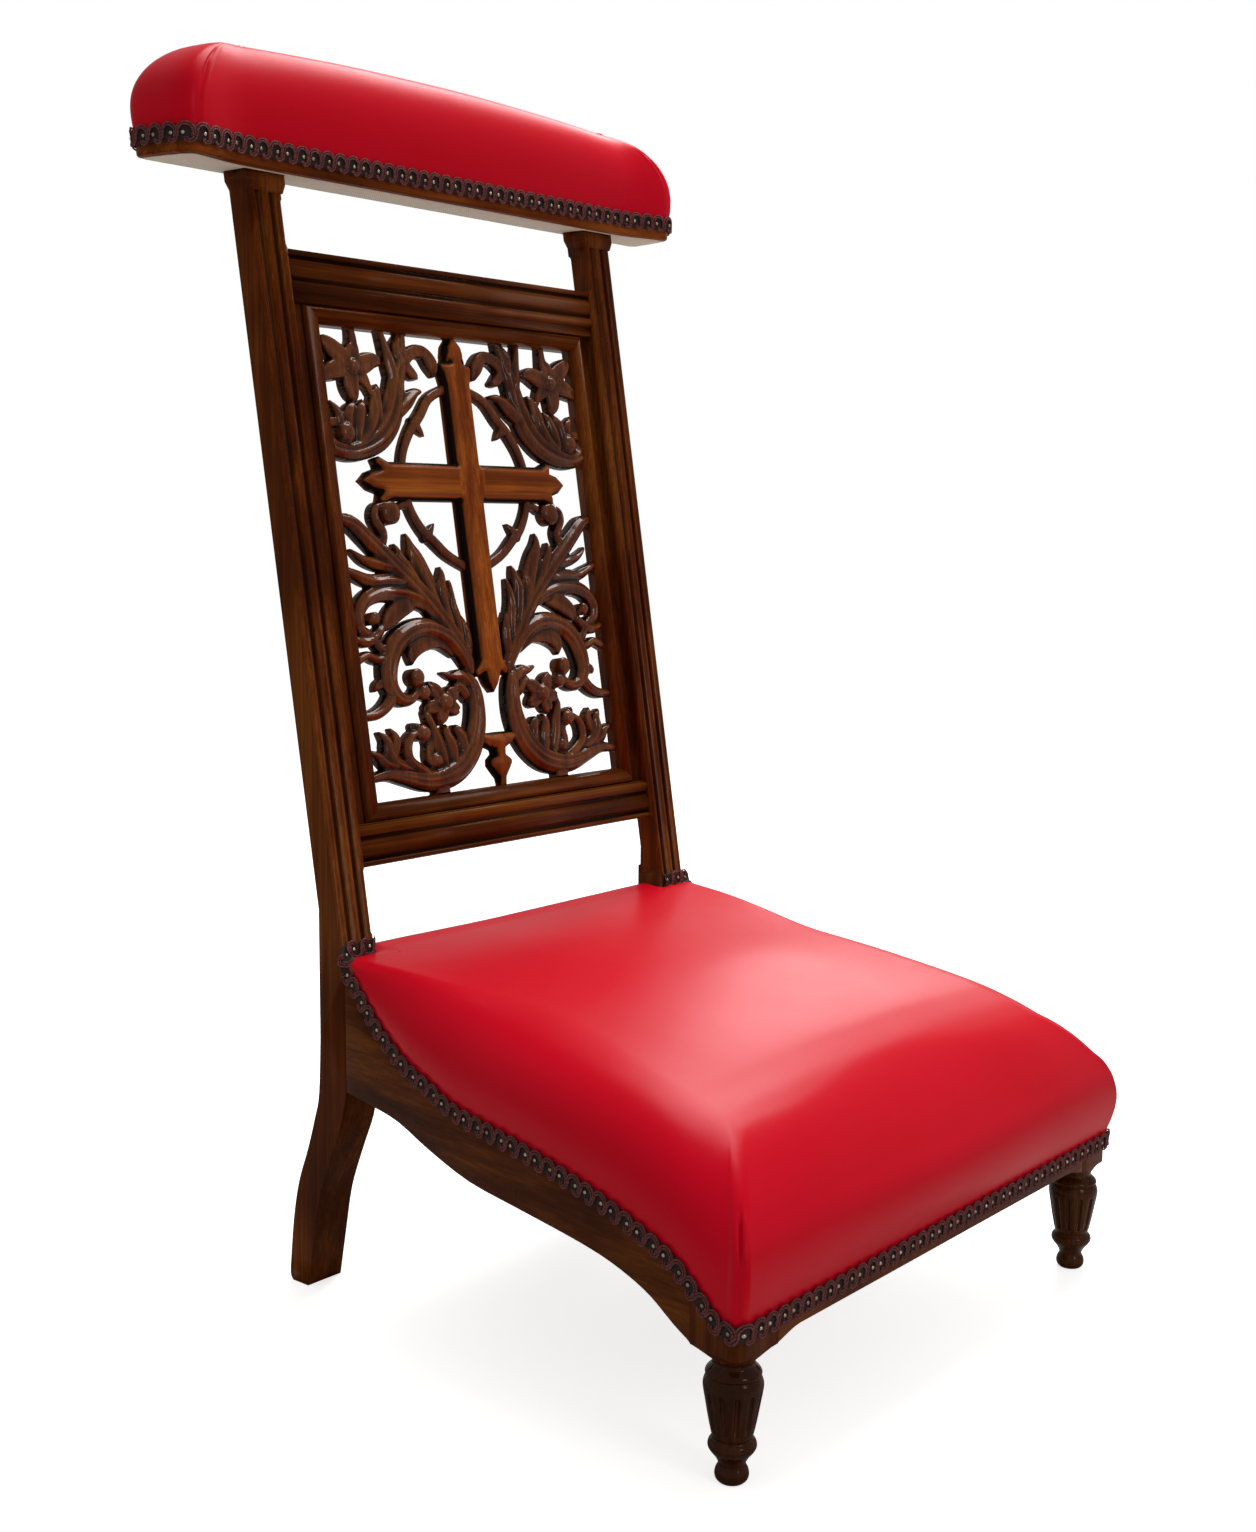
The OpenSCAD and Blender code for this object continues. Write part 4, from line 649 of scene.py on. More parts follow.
RING = [(1.4, 35.1, 0.42), (3.4, 34.2, 0.46), (4.8, 32.6, 0.5), (6.1, 31.3, 0.48), (7.3, 29.3, 0.42),
        (7.7, 27.2, 0.4), (7.3, 24.7, 0.42), (6.2, 22.8, 0.48), (4.9, 21.7, 0.5), (3.4, 20.5, 0.46),
        (1.4, 19.5, 0.42)]
SCROLLS = [
    (0, -2.5, RING),
    (0, -3.0, [(5.6, 32.0, 0.5), (5.0, 31.4, 0.35), (4.5, 30.9, 0.1)]),
    (0, -3.0, [(5.7, 22.1, 0.5), (5.1, 22.7, 0.35), (4.6, 23.2, 0.1)]),
    # Upper scroll: the long band from the volute to the top, with its ribs
    (3, 0.0, [(15.9, 30.6, 0.7), (15.2, 29.6, 0.8), (13.6, 29.3, 0.9), (11.8, 29.7, 1.1), (10, 30.6, 1.3),
              (8.6, 32, 1.35), (7.7, 33.8, 1.2), (7.2, 35.6, 1.0), (6.5, 37.4, 0.8), (5.7, 39.9, 0.3)]),
    (2, 1.0, [(12.8, 29.7, 0.5), (11.2, 30.9, 0.8), (10.3, 32.4, 0.7), (10.1, 34.2, 0.25)]),
    (2, 0.4, [(12.6, 29.8, 0.5), (12.2, 31.2, 0.8), (11.8, 32.4, 0.7), (11.3, 33.5, 0.2)]),
    (2, 0.0, [(13, 29.8, 0.5), (13.3, 31.2, 0.7), (13, 32.5, 0.6), (12.2, 33.4, 0.2)]),
    (2, -0.4, [(13.4, 30, 0.4), (14, 31.4, 0.6), (14.2, 32.4, 0.5), (14.8, 33.3, 0.15)]),
    (1, 0.5, [(9.6, 31.2, 0.9), (10.1, 32.4, 0.9), (9.8, 33.9, 0.6), (9.4, 34.9, 0.2)]),
    (2, 0.6, [(7.9, 32.6, 0.8), (6.4, 33.7, 0.8), (5.2, 34.5, 0.45), (4.3, 34.7, 0.15)]),
    (2, 0.4, [(7.3, 34.8, 0.7), (7.6, 36.6, 0.75), (8, 38, 0.5), (8.5, 39.9, 0.25)]),
    (2, 0.9, [(7.1, 35, 0.6), (6.6, 36.8, 0.7), (6.9, 38.2, 0.5), (6.3, 39.4, 0.2)]),
    (1, 0.6, [(6.8, 36, 0.5), (5.9, 37.3, 0.6), (4.8, 38.1, 0.6), (3.6, 38.1, 0.6), (2.8, 37.2, 0.7),
              (2.5, 36.4, 0.35)]),
    (1, 1.2, [(5.2, 38, 0.3), (5.9, 37, 0.5), (5.3, 36.2, 0.5), (4.6, 35.9, 0.2)]),
    (1, 0.2, [(15.9, 31.5, 0.4), (14.8, 31.6, 0.45), (13.9, 31.4, 0.4)]),
    # Flower and its stems
    (1, 1.2, [(12.3, 36.3, 0.5), (13.4, 37.2, 0.95), (14.6, 38.1, 0.7), (15.1, 38.5, 0.2)]),
    (1, 1.0, [(12.3, 36.3, 0.5), (13.7, 36.1, 0.9), (14.9, 35.7, 0.7), (15.9, 35.2, 0.4)]),
    (1, 0.9, [(12.3, 36.3, 0.5), (12.5, 35.2, 0.9), (12.4, 34.2, 0.7), (12, 33.6, 0.2)]),
    (1, 1.3, [(12.3, 36.3, 0.5), (11, 36.6, 0.9), (9.8, 37, 0.7), (8.8, 36.9, 0.25)]),
    (1, 0.8, [(12.3, 36.3, 0.5), (12.1, 37.3, 0.9), (11.7, 38.3, 0.5), (11.7, 39.9, 0.3)]),
    (1, 0.5, [(12.3, 36.3, 0.5), (11.3, 35.6, 0.7), (10.6, 34.9, 0.4), (10.2, 34, 0.2)]),
    # Upper acanthus: main rib and its lobes on both sides
    (3, 0.6, [(2.4, 10.8, 0.7), (3.6, 12.8, 0.9), (5.2, 15, 1.0), (7, 17, 1.05), (9, 18.8, 1.0),
              (11, 20.5, 0.9), (12.9, 22.1, 0.8), (14.4, 23.3, 0.7), (15.9, 23.7, 0.35)]),
    (2, 0.2, [(5.4, 15.4, 0.6), (6.4, 17.6, 1.1), (7.3, 19.8, 0.95), (7.9, 21.2, 0.5), (8.1, 22.3, 0.12)]),
    (2, 0.8, [(7, 16.8, 0.5), (8.2, 18.8, 0.7), (9.2, 20.2, 0.5), (9.6, 21.4, 0.15)]),
    (2, 0.0, [(3.9, 13.6, 0.6), (4.6, 15.6, 0.95), (4.9, 17.4, 0.8), (4.6, 18.6, 0.4), (4.5, 19.4, 0.12)]),
    (2, 0.3, [(4.8, 14.8, 0.5), (5.9, 16.8, 0.7), (6.1, 18, 0.5), (5.8, 19, 0.15)]),
    (2, -0.2, [(3.1, 12.4, 0.5), (3.5, 14.6, 0.75), (3.8, 16.2, 0.6), (3.6, 18.2, 0.15)]),
    (2, 0.0, [(2.6, 11.2, 0.5), (2.6, 13.4, 0.7), (2.9, 15.2, 0.2)]),
    (2, 0.3, [(8.6, 18.2, 0.6), (10.6, 18.4, 0.75), (12.8, 18.4, 0.6), (14.4, 18.9, 0.5),
              (15.9, 19.6, 0.25)]),
    (2, 0.7, [(9.8, 19.4, 0.5), (11.8, 19.8, 0.6), (13.4, 20.2, 0.4), (14.6, 21, 0.15)]),
    (2, 0.5, [(11.2, 21, 0.4), (10.9, 22.4, 0.5), (11.6, 23.6, 0.5), (11.4, 24.5, 0.4), (10.4, 24.9, 0.3),
              (9.2, 24.6, 0.3)]),
    (1, 0.2, [(8.9, 24.5, 0.35), (8, 24.9, 0.3), (7.3, 24.6, 0.3)]),
    # Outer curl of the upper acanthus
    (2, 0.6, [(6.2, 15.9, 0.6), (8, 16.9, 0.9), (10, 17.4, 0.95), (12, 17.4, 0.8), (13.8, 16.8, 0.7),
              (14.8, 15.6, 0.65), (14.6, 14.4, 0.55), (13.7, 14, 0.4)]),
    (1, 0.9, [(8.4, 16.4, 0.6), (10, 16, 0.9), (11.3, 15.2, 0.8), (12, 14.4, 0.3)]),
    (2, 0.2, [(12.1, 14.6, 0.4), (13.2, 13.7, 0.55), (14.4, 13.4, 0.5), (15.9, 13.8, 0.3)]),
    (1, 0.0, [(12.4, 14.8, 0.3), (13, 15.2, 0.35), (13.6, 15, 0.3)]),
    # Middle scroll
    (3, 1.2, [(2.4, 10.4, 0.6), (3.6, 12.2, 0.75), (5.4, 13.7, 0.85), (7.6, 14.3, 0.9), (9.6, 13.9, 0.95),
              (11.2, 12.8, 1.05), (12.1, 11.2, 1.05), (12.2, 9.6, 0.9), (11.4, 8.5, 0.7), (10.2, 8.3, 0.55),
              (9.3, 8.9, 0.5), (9.2, 9.7, 0.4)]),
    (1, 0.4, [(4.2, 12, 0.45), (5.8, 13, 0.65), (7.6, 13.1, 0.85), (9, 12.4, 0.75), (9.3, 11.4, 0.25)]),
    (2, 0.0, [(12, 11.8, 0.6), (13.4, 11.9, 0.45), (14.4, 12.2, 0.4), (15.9, 11.5, 0.35)]),
    (2, 0.3, [(12.4, 12.4, 0.5), (13.2, 13.3, 0.45), (13.9, 14.4, 0.2)]),
    (2, 0.3, [(11.8, 9, 0.7), (12.9, 7.9, 0.6), (14.2, 7.3, 0.5), (15.9, 7.2, 0.35)]),
    (1, 0.0, [(12.4, 10, 0.5), (13.4, 9.7, 0.4), (13.8, 9.3, 0.15)]),
    # Lower scroll
    (4, 0.6, [(3.2, 10.2, 0.3), (2.5, 9, 0.8), (2.3, 7.2, 1.0), (2.6, 5.4, 1.15), (3.5, 3.6, 1.25),
              (5.2, 2.1, 1.25), (7.2, 1.4, 1.15), (9.4, 1.3, 0.95), (11.6, 1.8, 0.75), (13.6, 2.2, 0.55),
              (15.9, 1.9, 0.3)]),
    (0, -1.5, [(7.6, 0.6, 0.9), (7.6, -0.3, 0.9)]),
    (2, 0.9, [(2.8, 9, 0.5), (3.8, 9.9, 0.6), (4.9, 10, 0.35), (5.8, 10.3, 0.12)]),
    (2, 0.2, [(3.2, 8, 0.5), (4, 9, 0.6), (4.8, 9.1, 0.2)]),
    (2, 0.3, [(4.6, 2.6, 0.7), (4.5, 4.2, 0.8), (4.9, 5.2, 0.5), (5.2, 5.6, 0.15)]),
    (2, 0.8, [(5.8, 2.2, 0.6), (5.9, 3.8, 0.75), (6.3, 5, 0.5), (6.2, 5.7, 0.2)]),
    (2, 0.5, [(6.8, 1.9, 0.6), (7.3, 3.6, 0.8), (7.7, 5, 0.65), (8.1, 6.2, 0.45), (8.4, 7, 0.3)]),
    (1, 0.4, [(7.8, 1.9, 0.5), (8.6, 3.1, 0.5), (8.5, 4.4, 0.45), (9, 5.5, 0.5), (10, 5.9, 0.4)]),
    (2, 0.9, [(8.2, 1.5, 0.5), (9.8, 2.2, 0.6), (11, 3.2, 0.55), (11, 4.5, 0.5), (10.2, 5.3, 0.4),
              (9.4, 5, 0.35)]),
    (2, 0.4, [(10.8, 2.4, 0.6), (12.4, 2.9, 0.7), (13.2, 4, 0.7), (13.3, 5, 0.5), (13.9, 5.7, 0.15)]),
    (2, 0.1, [(12, 2.5, 0.5), (13.6, 3.1, 0.6), (14.4, 3.8, 0.4), (15.2, 4.2, 0.2)]),
    (1, 0.6, [(12.8, 3.6, 0.5), (12.2, 5, 0.45), (12.6, 5.9, 0.15)]),
    # Cup of the lower flower
    (1, 1.0, [(6.2, 7.8, 0.5), (7, 8.7, 0.75), (7.5, 9.4, 0.3)]),
    (1, 1.2, [(6.2, 7.8, 0.5), (5.2, 8.4, 0.75), (4.6, 8.7, 0.3)]),
    (1, 1.0, [(6.2, 7.8, 0.5), (7.4, 7.5, 0.7), (8.2, 7.4, 0.35)]),
    (1, 1.2, [(6.2, 7.8, 0.5), (6.6, 6.8, 0.75), (6.9, 6.2, 0.4)]),
    (1, 1.0, [(6.2, 7.8, 0.5), (5.2, 7.2, 0.7), (4.6, 7, 0.3)]),
    (1, 0.0, [(7.6, 8.2, 0.4), (8.6, 8.6, 0.45), (9.6, 8.6, 0.4)]),
]
# Balls: (squares out, squares up, radius, lift in mm)
BALLS = [(13.8, 30.7, 0.75, 2.2), (10, 24.1, 1.0, 1.4), (9.3, 10.1, 0.75, 1.8), (8.6, 8.8, 0.55, 1.6),
         (12.2, 36.3, 0.55, 2.2), (6.2, 7.8, 0.65, 2.2), (9.2, 5.3, 0.6, 1.4), (8, 2.9, 0.5, 1.0),
         (13.2, 15.3, 0.5, 0.6)]
CROSS = [(0, 39.9), (0.9, 38.9), (1.15, 37.9), (0.85, 37.5), (1.9, 37.2), (1.75, 36.2), (1.55, 35.4),
         (1.55, 28.45), (9.4, 28.45), (10.4, 28.9), (10.9, 28.7), (10.7, 27.9), (11.7, 27.6), (12.6, 26.85),
         (11.7, 26.1), (10.7, 25.8), (10.9, 25.1), (10.4, 24.9), (9.4, 25.2), (1.55, 25.2), (1.55, 11.2),
         (2.1, 10.2), (1.9, 9.7), (1.1, 9.9), (0.7, 9), (0, 8.2)]
PENDANT = [(0, 4.75), (2.4, 4.7), (2.3, 4.1), (1.5, 3.5), (0.75, 3.15), (0.7, 2.8), (1.35, 2.35), (1.4, 1.8),
           (0.95, 1.2), (0.45, 0.6), (0.32, -0.3), (0, -0.3)]
# Cuts on the right half of the cross, in its buds and its foot
CROSS_CUTS = [
    [(1.0, 37.2, 0.3), (0.6, 38, 0.4), (0.1, 39.6, 0.1)],
    [(0.9, 36.0, 0.2), (1.2, 36.7, 0.35), (1.8, 37.2, 0.15)],
    [(9.8, 28.0, 0.2), (10.3, 28.2, 0.35), (10.8, 28.6, 0.15)],
    [(9.8, 25.8, 0.2), (10.3, 25.5, 0.35), (10.8, 25.1, 0.15)],
    [(10.2, 26.85, 0.3), (11.2, 26.85, 0.5), (12.5, 26.85, 0.1)],
    [(0.9, 11.2, 0.2), (1.3, 10.6, 0.35), (1.8, 10, 0.15)],
]
# Middle of the arms of the cross, half their width and that of the upright, in squares
ARMS_Z = 26.83
ARMS_HALF = 2.4
UPRIGHT_HALF = 1.55


class Relief:
    """A height field over part of the panel: edge is the distance outside the outline."""

    def __init__(self, x0, x1, z0, z1, cell):
        self.cell = cell
        self.x = np.arange(x0, x1 + cell / 2, cell)
        self.z = np.arange(z0, z1 + cell / 2, cell)
        self.X, self.Z = np.meshgrid(self.x, self.z)
        self.edge = np.full(self.X.shape, 99.0)
        self.top = np.full(self.X.shape, -99.0)

    def lay(self, part, edge, top):
        """Puts a cut over what is there: the higher surface wins inside the outline."""
        reach = PAST_EDGE * self.cell
        self.edge[part] = np.minimum(self.edge[part], edge)
        self.top[part] = np.where(edge < reach, np.maximum(self.top[part], top), self.top[part])

    def window(self, low, high):
        i = np.searchsorted(self.x, [low[0], high[0]])
        j = np.searchsorted(self.z, [low[1], high[1]])
        return np.s_[j[0]:j[1], i[0]:i[1]]

    def stroke(self, flutes, lift, shares, look):
        line = curve([(s[0] * SQUARE, s[1] * SQUARE, s[2] * SQUARE) for s in shares], 5)
        pad = line[:, 2].max() + 3 * self.cell
        part = self.window(line[:, :2].min(0) - pad, line[:, :2].max(0) + pad)
        X = self.X[part]
        Z = self.Z[part]
        if not X.size:
            return
        edge = np.full(X.shape, 99.0)
        across = np.zeros(X.shape)
        wide = np.ones(X.shape)
        along = np.zeros(X.shape)
        count = len(line) - 1
        for k in range(count):
            a, b = line[k], line[k + 1]
            run = b[:2] - a[:2]
            length2 = max(run @ run, 1e-9)
            s = np.clip(((X - a[0]) * run[0] + (Z - a[1]) * run[1]) / length2, 0, 1)
            dx = X - a[0] - run[0] * s
            dz = Z - a[1] - run[1] * s
            half = mix(a[2], b[2], s)
            off = np.hypot(dx, dz)
            here_edge = off - half
            near = here_edge < edge
            edge = np.where(near, here_edge, edge)
            side = np.sign(run[0] * dz - run[1] * dx)
            across = np.where(near, off * side, across)
            wide = np.where(near, half, wide)
            along = np.where(near, (k + s) / count, along)
        t = np.clip(across / wide, -1, 1)
        body = look.crest - look.rim
        size = np.clip(wide / 8.0, 0, 1) ** 0.5
        ends = np.clip(np.minimum(along, 1 - along) * 6, 0, 1) ** 0.5
        top = look.rim + (body * size + lift) * (1 - np.abs(t) ** 2.6) ** 0.5 * mix(0.55, 1, ends)
        if flutes:
            cut = np.abs(np.sin(math.pi * flutes * (t + 1) / 2))
            depth = np.minimum(look.groove, 0.62 * wide / flutes)
            top -= depth * cut * (1 - t ** 6)
        self.lay(part, edge, top)

    def ball(self, x, z, r, lift, look):
        x, z, r = x * SQUARE, z * SQUARE, r * SQUARE
        part = self.window((x - r - 3, z - r - 3), (x + r + 3, z + r + 3))
        off = np.hypot(self.X[part] - x, self.Z[part] - z)
        dome = np.sqrt(np.clip(1 - (off / r) ** 2, 0, 1))
        self.lay(part, off - r, mix(look.rim, look.crest, 0.55) + lift + dome * min(r, 6.0) * 0.6)

    def plate(self, outline, low, high, bevel, rounded=False):
        """A shape with bevelled or rounded edges; outline is its right half, in squares."""
        half = [(p[0] * SQUARE, p[1] * SQUARE) for p in outline]
        ring = np.array(half + [(-x, z) for x, z in reversed(half) if x > 0])
        edge = np.full(self.X.shape, 99.0)
        inside = np.zeros(self.X.shape, bool)
        for a, b in zip(ring, np.roll(ring, -1, 0)):
            run = b - a
            if run @ run < 1e-9:
                continue
            s = np.clip(((self.X - a[0]) * run[0] + (self.Z - a[1]) * run[1]) / (run @ run), 0, 1)
            edge = np.minimum(edge, np.hypot(self.X - a[0] - run[0] * s, self.Z - a[1] - run[1] * s))
            if a[1] != b[1]:
                span = (a[1] > self.Z) != (b[1] > self.Z)
                inside ^= span & (self.X < run[0] * (self.Z - a[1]) / run[1] + a[0])
        edge = np.where(inside, -edge, edge)
        rise_in = np.clip(-edge / bevel, 0, 1)
        if rounded:
            rise_in = np.sqrt(1 - (1 - rise_in) ** 2)
        self.lay(np.s_[:, :], edge, low + (high - low) * rise_in)

    def soften(self, rounds):
        """Rubs the finished surface down a little, inside the outline only."""
        solid = (self.edge < PAST_EDGE * self.cell).astype(float)
        for _ in range(rounds):
            total = np.zeros_like(self.top)
            weight = np.zeros_like(self.top)
            for dj, di, share in ((0, 0, 4), (0, 1, 1), (0, -1, 1), (1, 0, 1), (-1, 0, 1)):
                part = np.roll(solid, (dj, di), (0, 1)) * share
                total += np.roll(self.top, (dj, di), (0, 1)) * part
                weight += part
            self.top = np.where(solid > 0, total / np.maximum(weight, 1e-6), self.top)

    def hollows(self, reach):
        """How far each point stands above its neighbourhood."""
        solid = (self.edge < PAST_EDGE * self.cell).astype(float)

        def around(field):
            for axis in (0, 1):
                field = sum(np.roll(field, k, axis) for k in range(-reach, reach + 1))
            return field

        mean = around(self.top * solid) / np.maximum(around(solid), 1e-6)
        return np.where(solid > 0, self.top - mean, 0)

    def solid(self):
        """The front's points as (x, height, z), its faces, the relief at each point, and its outline."""
        inside = self.edge < 0
        index = -np.ones(inside.shape, int)
        index[inside] = np.arange(inside.sum())
        # Height above the neighbourhood: lighter wear on ridges, painted shade in hollows
        wear_and_shade = self.hollows(6)
        points = list(zip(self.X[inside], self.top[inside], self.Z[inside]))
        relief = list(wear_and_shade[inside])
        full = inside[:-1, :-1] & inside[:-1, 1:] & inside[1:, 1:] & inside[1:, :-1]
        some = inside[:-1, :-1] | inside[:-1, 1:] | inside[1:, 1:] | inside[1:, :-1]
        faces = []
        for j, i in zip(*np.nonzero(full)):
            faces.append((index[j, i], index[j, i + 1], index[j + 1, i + 1], index[j + 1, i]))
        crossed = {}

        def crossing(a, b):
            key = (a, b) if a < b else (b, a)
            if key not in crossed:
                (ja, ia), (jb, ib) = key
                ea, eb = self.edge[ja, ia], self.edge[jb, ib]
                s = min(max(ea / (ea - eb), 0.03), 0.97)
                inner = key[0] if ea < 0 else key[1]
                crossed[key] = len(points)
                points.append((mix(self.x[ia], self.x[ib], s),
                               mix(self.top[ja, ia], self.top[jb, ib], s),
                               mix(self.z[ja], self.z[jb], s)))
                relief.append(wear_and_shade[inner])
            return crossed[key]

        rim = []
        for j, i in zip(*np.nonzero(some & ~full)):
            corners = [(j, i), (j, i + 1), (j + 1, i + 1), (j + 1, i)]
            loop = []
            cuts = []
            for k in range(4):
                a, b = corners[k], corners[(k + 1) % 4]
                if inside[a]:
                    loop.append(index[a])
                if inside[a] != inside[b]:
                    at = crossing(a, b)
                    loop.append(at)
                    cuts.append((at, bool(inside[a])))
            if len(loop) > 2:
                faces.append(tuple(loop))
            # The outline runs from each way out to the next way in
            for k, (at, leaving) in enumerate(cuts):
                if leaving:
                    rim.append((at, cuts[(k + 1) % len(cuts)][0]))
        return np.array(points), faces, np.array(relief), rim


def grain_along_bar(mesh):
    """Gives the arms of the cross wood whose grain runs across."""
    mesh.materials.append(FINISHES["cross_bar"])
    middle = Vector(place(on_slope(0.0, 0.0, OPEN_Z + ARMS_Z * SQUARE)))
    upward = Vector((0, math.sin(RAKE), math.cos(RAKE)))
    for face in mesh.polygons:
        high = (face.center - middle).dot(upward) / MM
        if abs(face.center.x) / MM > UPRIGHT_HALF * SQUARE and abs(high) < ARMS_HALF * SQUARE:
            face.material_index = 1


def carve_solid(names, relief, material, flat_face=None):
    """Turns a relief into closed pieces on the slope, with the other hand where two names are given.

    Given the height of a flat face, what lies below it is marked as a hollow, so that its bevels get painted
    shade.
    """
    points, faces, wear_and_shade, rim = relief.solid()
    if flat_face:
        # Bevels below the flat face are darkened with painted shade
        wear_and_shade = wear_and_shade - 0.1 * np.clip(flat_face - 0.6 - points[:, 1], 0, 6)
    front = len(points)
    base = {}
    walls = []
    back_points = []
    for a, b in rim:
        for p in (a, b):
            if p not in base:
                base[p] = front + len(back_points)
                back_points.append((points[p][0], 0.0, points[p][2]))
        walls.append((b, a, base[a], base[b]))
    # The flat back is filled from its outline
    bm = bmesh.new()
    verts = [bm.verts.new((p[0], p[2], 0.0)) for p in back_points]
    for a, b in rim:
        bm.edges.new((verts[base[a] - front], verts[base[b] - front]))
    bm.verts.index_update()
    filled = bmesh.ops.triangle_fill(bm, edges=bm.edges[:], use_beauty=True, use_dissolve=False)
    back = []
    for face in [f for f in filled["geom"] if isinstance(f, bmesh.types.BMFace)]:
        corners = [front + v.index for v in face.verts]
        back.append(tuple(corners if face.normal.z < 0 else reversed(corners)))
    bm.free()
    everything = np.concatenate([points, np.array(back_points)])
    wear_and_shade = np.concatenate([wear_and_shade, np.zeros(len(back_points))])
    made = []
    for name, hand in zip(names, (1, -1)):
        placed = on_slope(hand * everything[:, 0], PANEL_BACK - everything[:, 1], OPEN_Z + everything[:, 2])
        whole = faces + walls + back
        if hand < 0:
            whole = [tuple(reversed(f)) for f in whole]
        obj = mesh_piece(name, placed, whole, material, sharp=55)
        mark(obj.data, "carve_relief", wear_and_shade)
        made.append(obj)
    return made


class Cuts:
    """The carving's heights in millimetres."""

    def __init__(self, look):
        self.rim = look.rim / MM
        self.crest = look.crest / MM
        self.groove = look.groove / MM


def past_opening(z):
    """How far a height lies outside the panel's opening."""
    return np.abs(z - OPEN_H / 2) - OPEN_H / 2


def carved_scrolls(look, cuts):
    """Both halves of the scrollwork, each with its share of the rim behind the moulding."""
    cell = look.cell / MM
    scrolls = Relief(0.4, OPEN_W / 2 + RIM_W + 1.0, -RIM_W - 1.0, OPEN_H + RIM_W + 1.0, cell)
    for flutes, lift, shares in SCROLLS:
        scrolls.stroke(flutes, lift, shares, cuts)
    for x, z, r, lift in BALLS:
        scrolls.ball(x, z, r, lift, cuts)
    scrolls.soften(1)
    in_open = np.maximum(np.abs(scrolls.X) - OPEN_W / 2, past_opening(scrolls.Z))
    out_rim = np.maximum(scrolls.X - OPEN_W / 2 - RIM_W, past_opening(scrolls.Z) - RIM_W)
    rim = np.maximum(-in_open, out_rim)
    scrolls.edge = np.maximum(np.minimum(scrolls.edge, rim), out_rim)
    scrolls.edge = np.maximum(scrolls.edge, 0.5 - scrolls.X)
    scrolls.top = np.where(rim < PAST_EDGE * cell, np.maximum(scrolls.top, GROUND_T), scrolls.top)
    scrolls.top = np.where(in_open > -0.4, GROUND_T, scrolls.top)
    return carve_solid(("carving_right", "carving_left"), scrolls, FINISHES["carved"])


def carved_cross(look, cuts):
    """The bevelled cross with its buds, and the rounded pendant under it."""
    cross = Relief(-130.0, 130.0, -4.0, OPEN_H + 4.0, look.cell / MM)
    high = look.cross_face / MM
    cross.plate(CROSS, look.cross_edge / MM, high, look.cross_bevel / MM)
    cross.plate(PENDANT, 2.0, high, 11.0, rounded=True)
    for hand in (-1, 1):
        for shares in CROSS_CUTS:
            cross.stroke(1, 1.8, [(hand * x, z, half) for x, z, half in shares], cuts)
    cross.soften(1)
    cross.top = np.where(past_opening(cross.Z) > -0.4, np.minimum(cross.top, GROUND_T), cross.top)
    made = carve_solid(("carved_cross",), cross, FINISHES["cross"], high)
    grain_along_bar(made[0].data)
    return made


# Upholstery

def seat_top(x, y):
    bell = np.sin(math.pi * np.clip(way(y), 0, 1))
    line = mix(*SEAT_RISE, np.interp(way(y), TOP_LINE[:, 0], TOP_LINE[:, 1])) + SEAT_LOFT * bell ** 0.8
    return line + SEAT_CROWN * bell * np.clip(1 - (x / (side_x(y) - SEAT_ROLL / 2)) ** 2, 0, 1) ** 1.4


def roll_in(s, roll, bulge, power):
    return roll * (1 - (1 - s ** power) ** (1 / power)) - bulge * np.sin(math.pi * s)


def corner_roll(x, y):
    """A roll is wider where it rounds a front corner."""
    off = np.hypot(np.abs(x) - FRONT_W / 2, y + FRONT_OUT)
    return 1 + SEAT_CORNER_SHARE * np.exp(-(off / SEAT_CORNER_L) ** 2)


def even_shares(roll, height, power, count):
    """Shares of the way up a roll that are evenly spaced along its surface."""
    s = np.concatenate([np.linspace(0, 0.9, 200), 1 - np.geomspace(0.1, 1e-7, 300), [1.0]])
    path = np.stack([roll_in(s, roll, 0, power), s * height], axis=1)
    run = run_of(path)
    return np.interp(np.linspace(0, run[-1], count), run, s)


def spaced(length, fine, coarse, ramp, fine_at_start, fine_at_end):
    """Distances along a run, close together near the ends that are asked for."""
    at = [0.0]
    while at[-1] < length:
        near = min(at[-1] if fine_at_start else 1e9, length - at[-1] if fine_at_end else 1e9)
        at.append(at[-1] + mix(fine, coarse, min(1, max(0, near) / ramp)))
    at = np.array(at)
    return at * (length / at[-1])


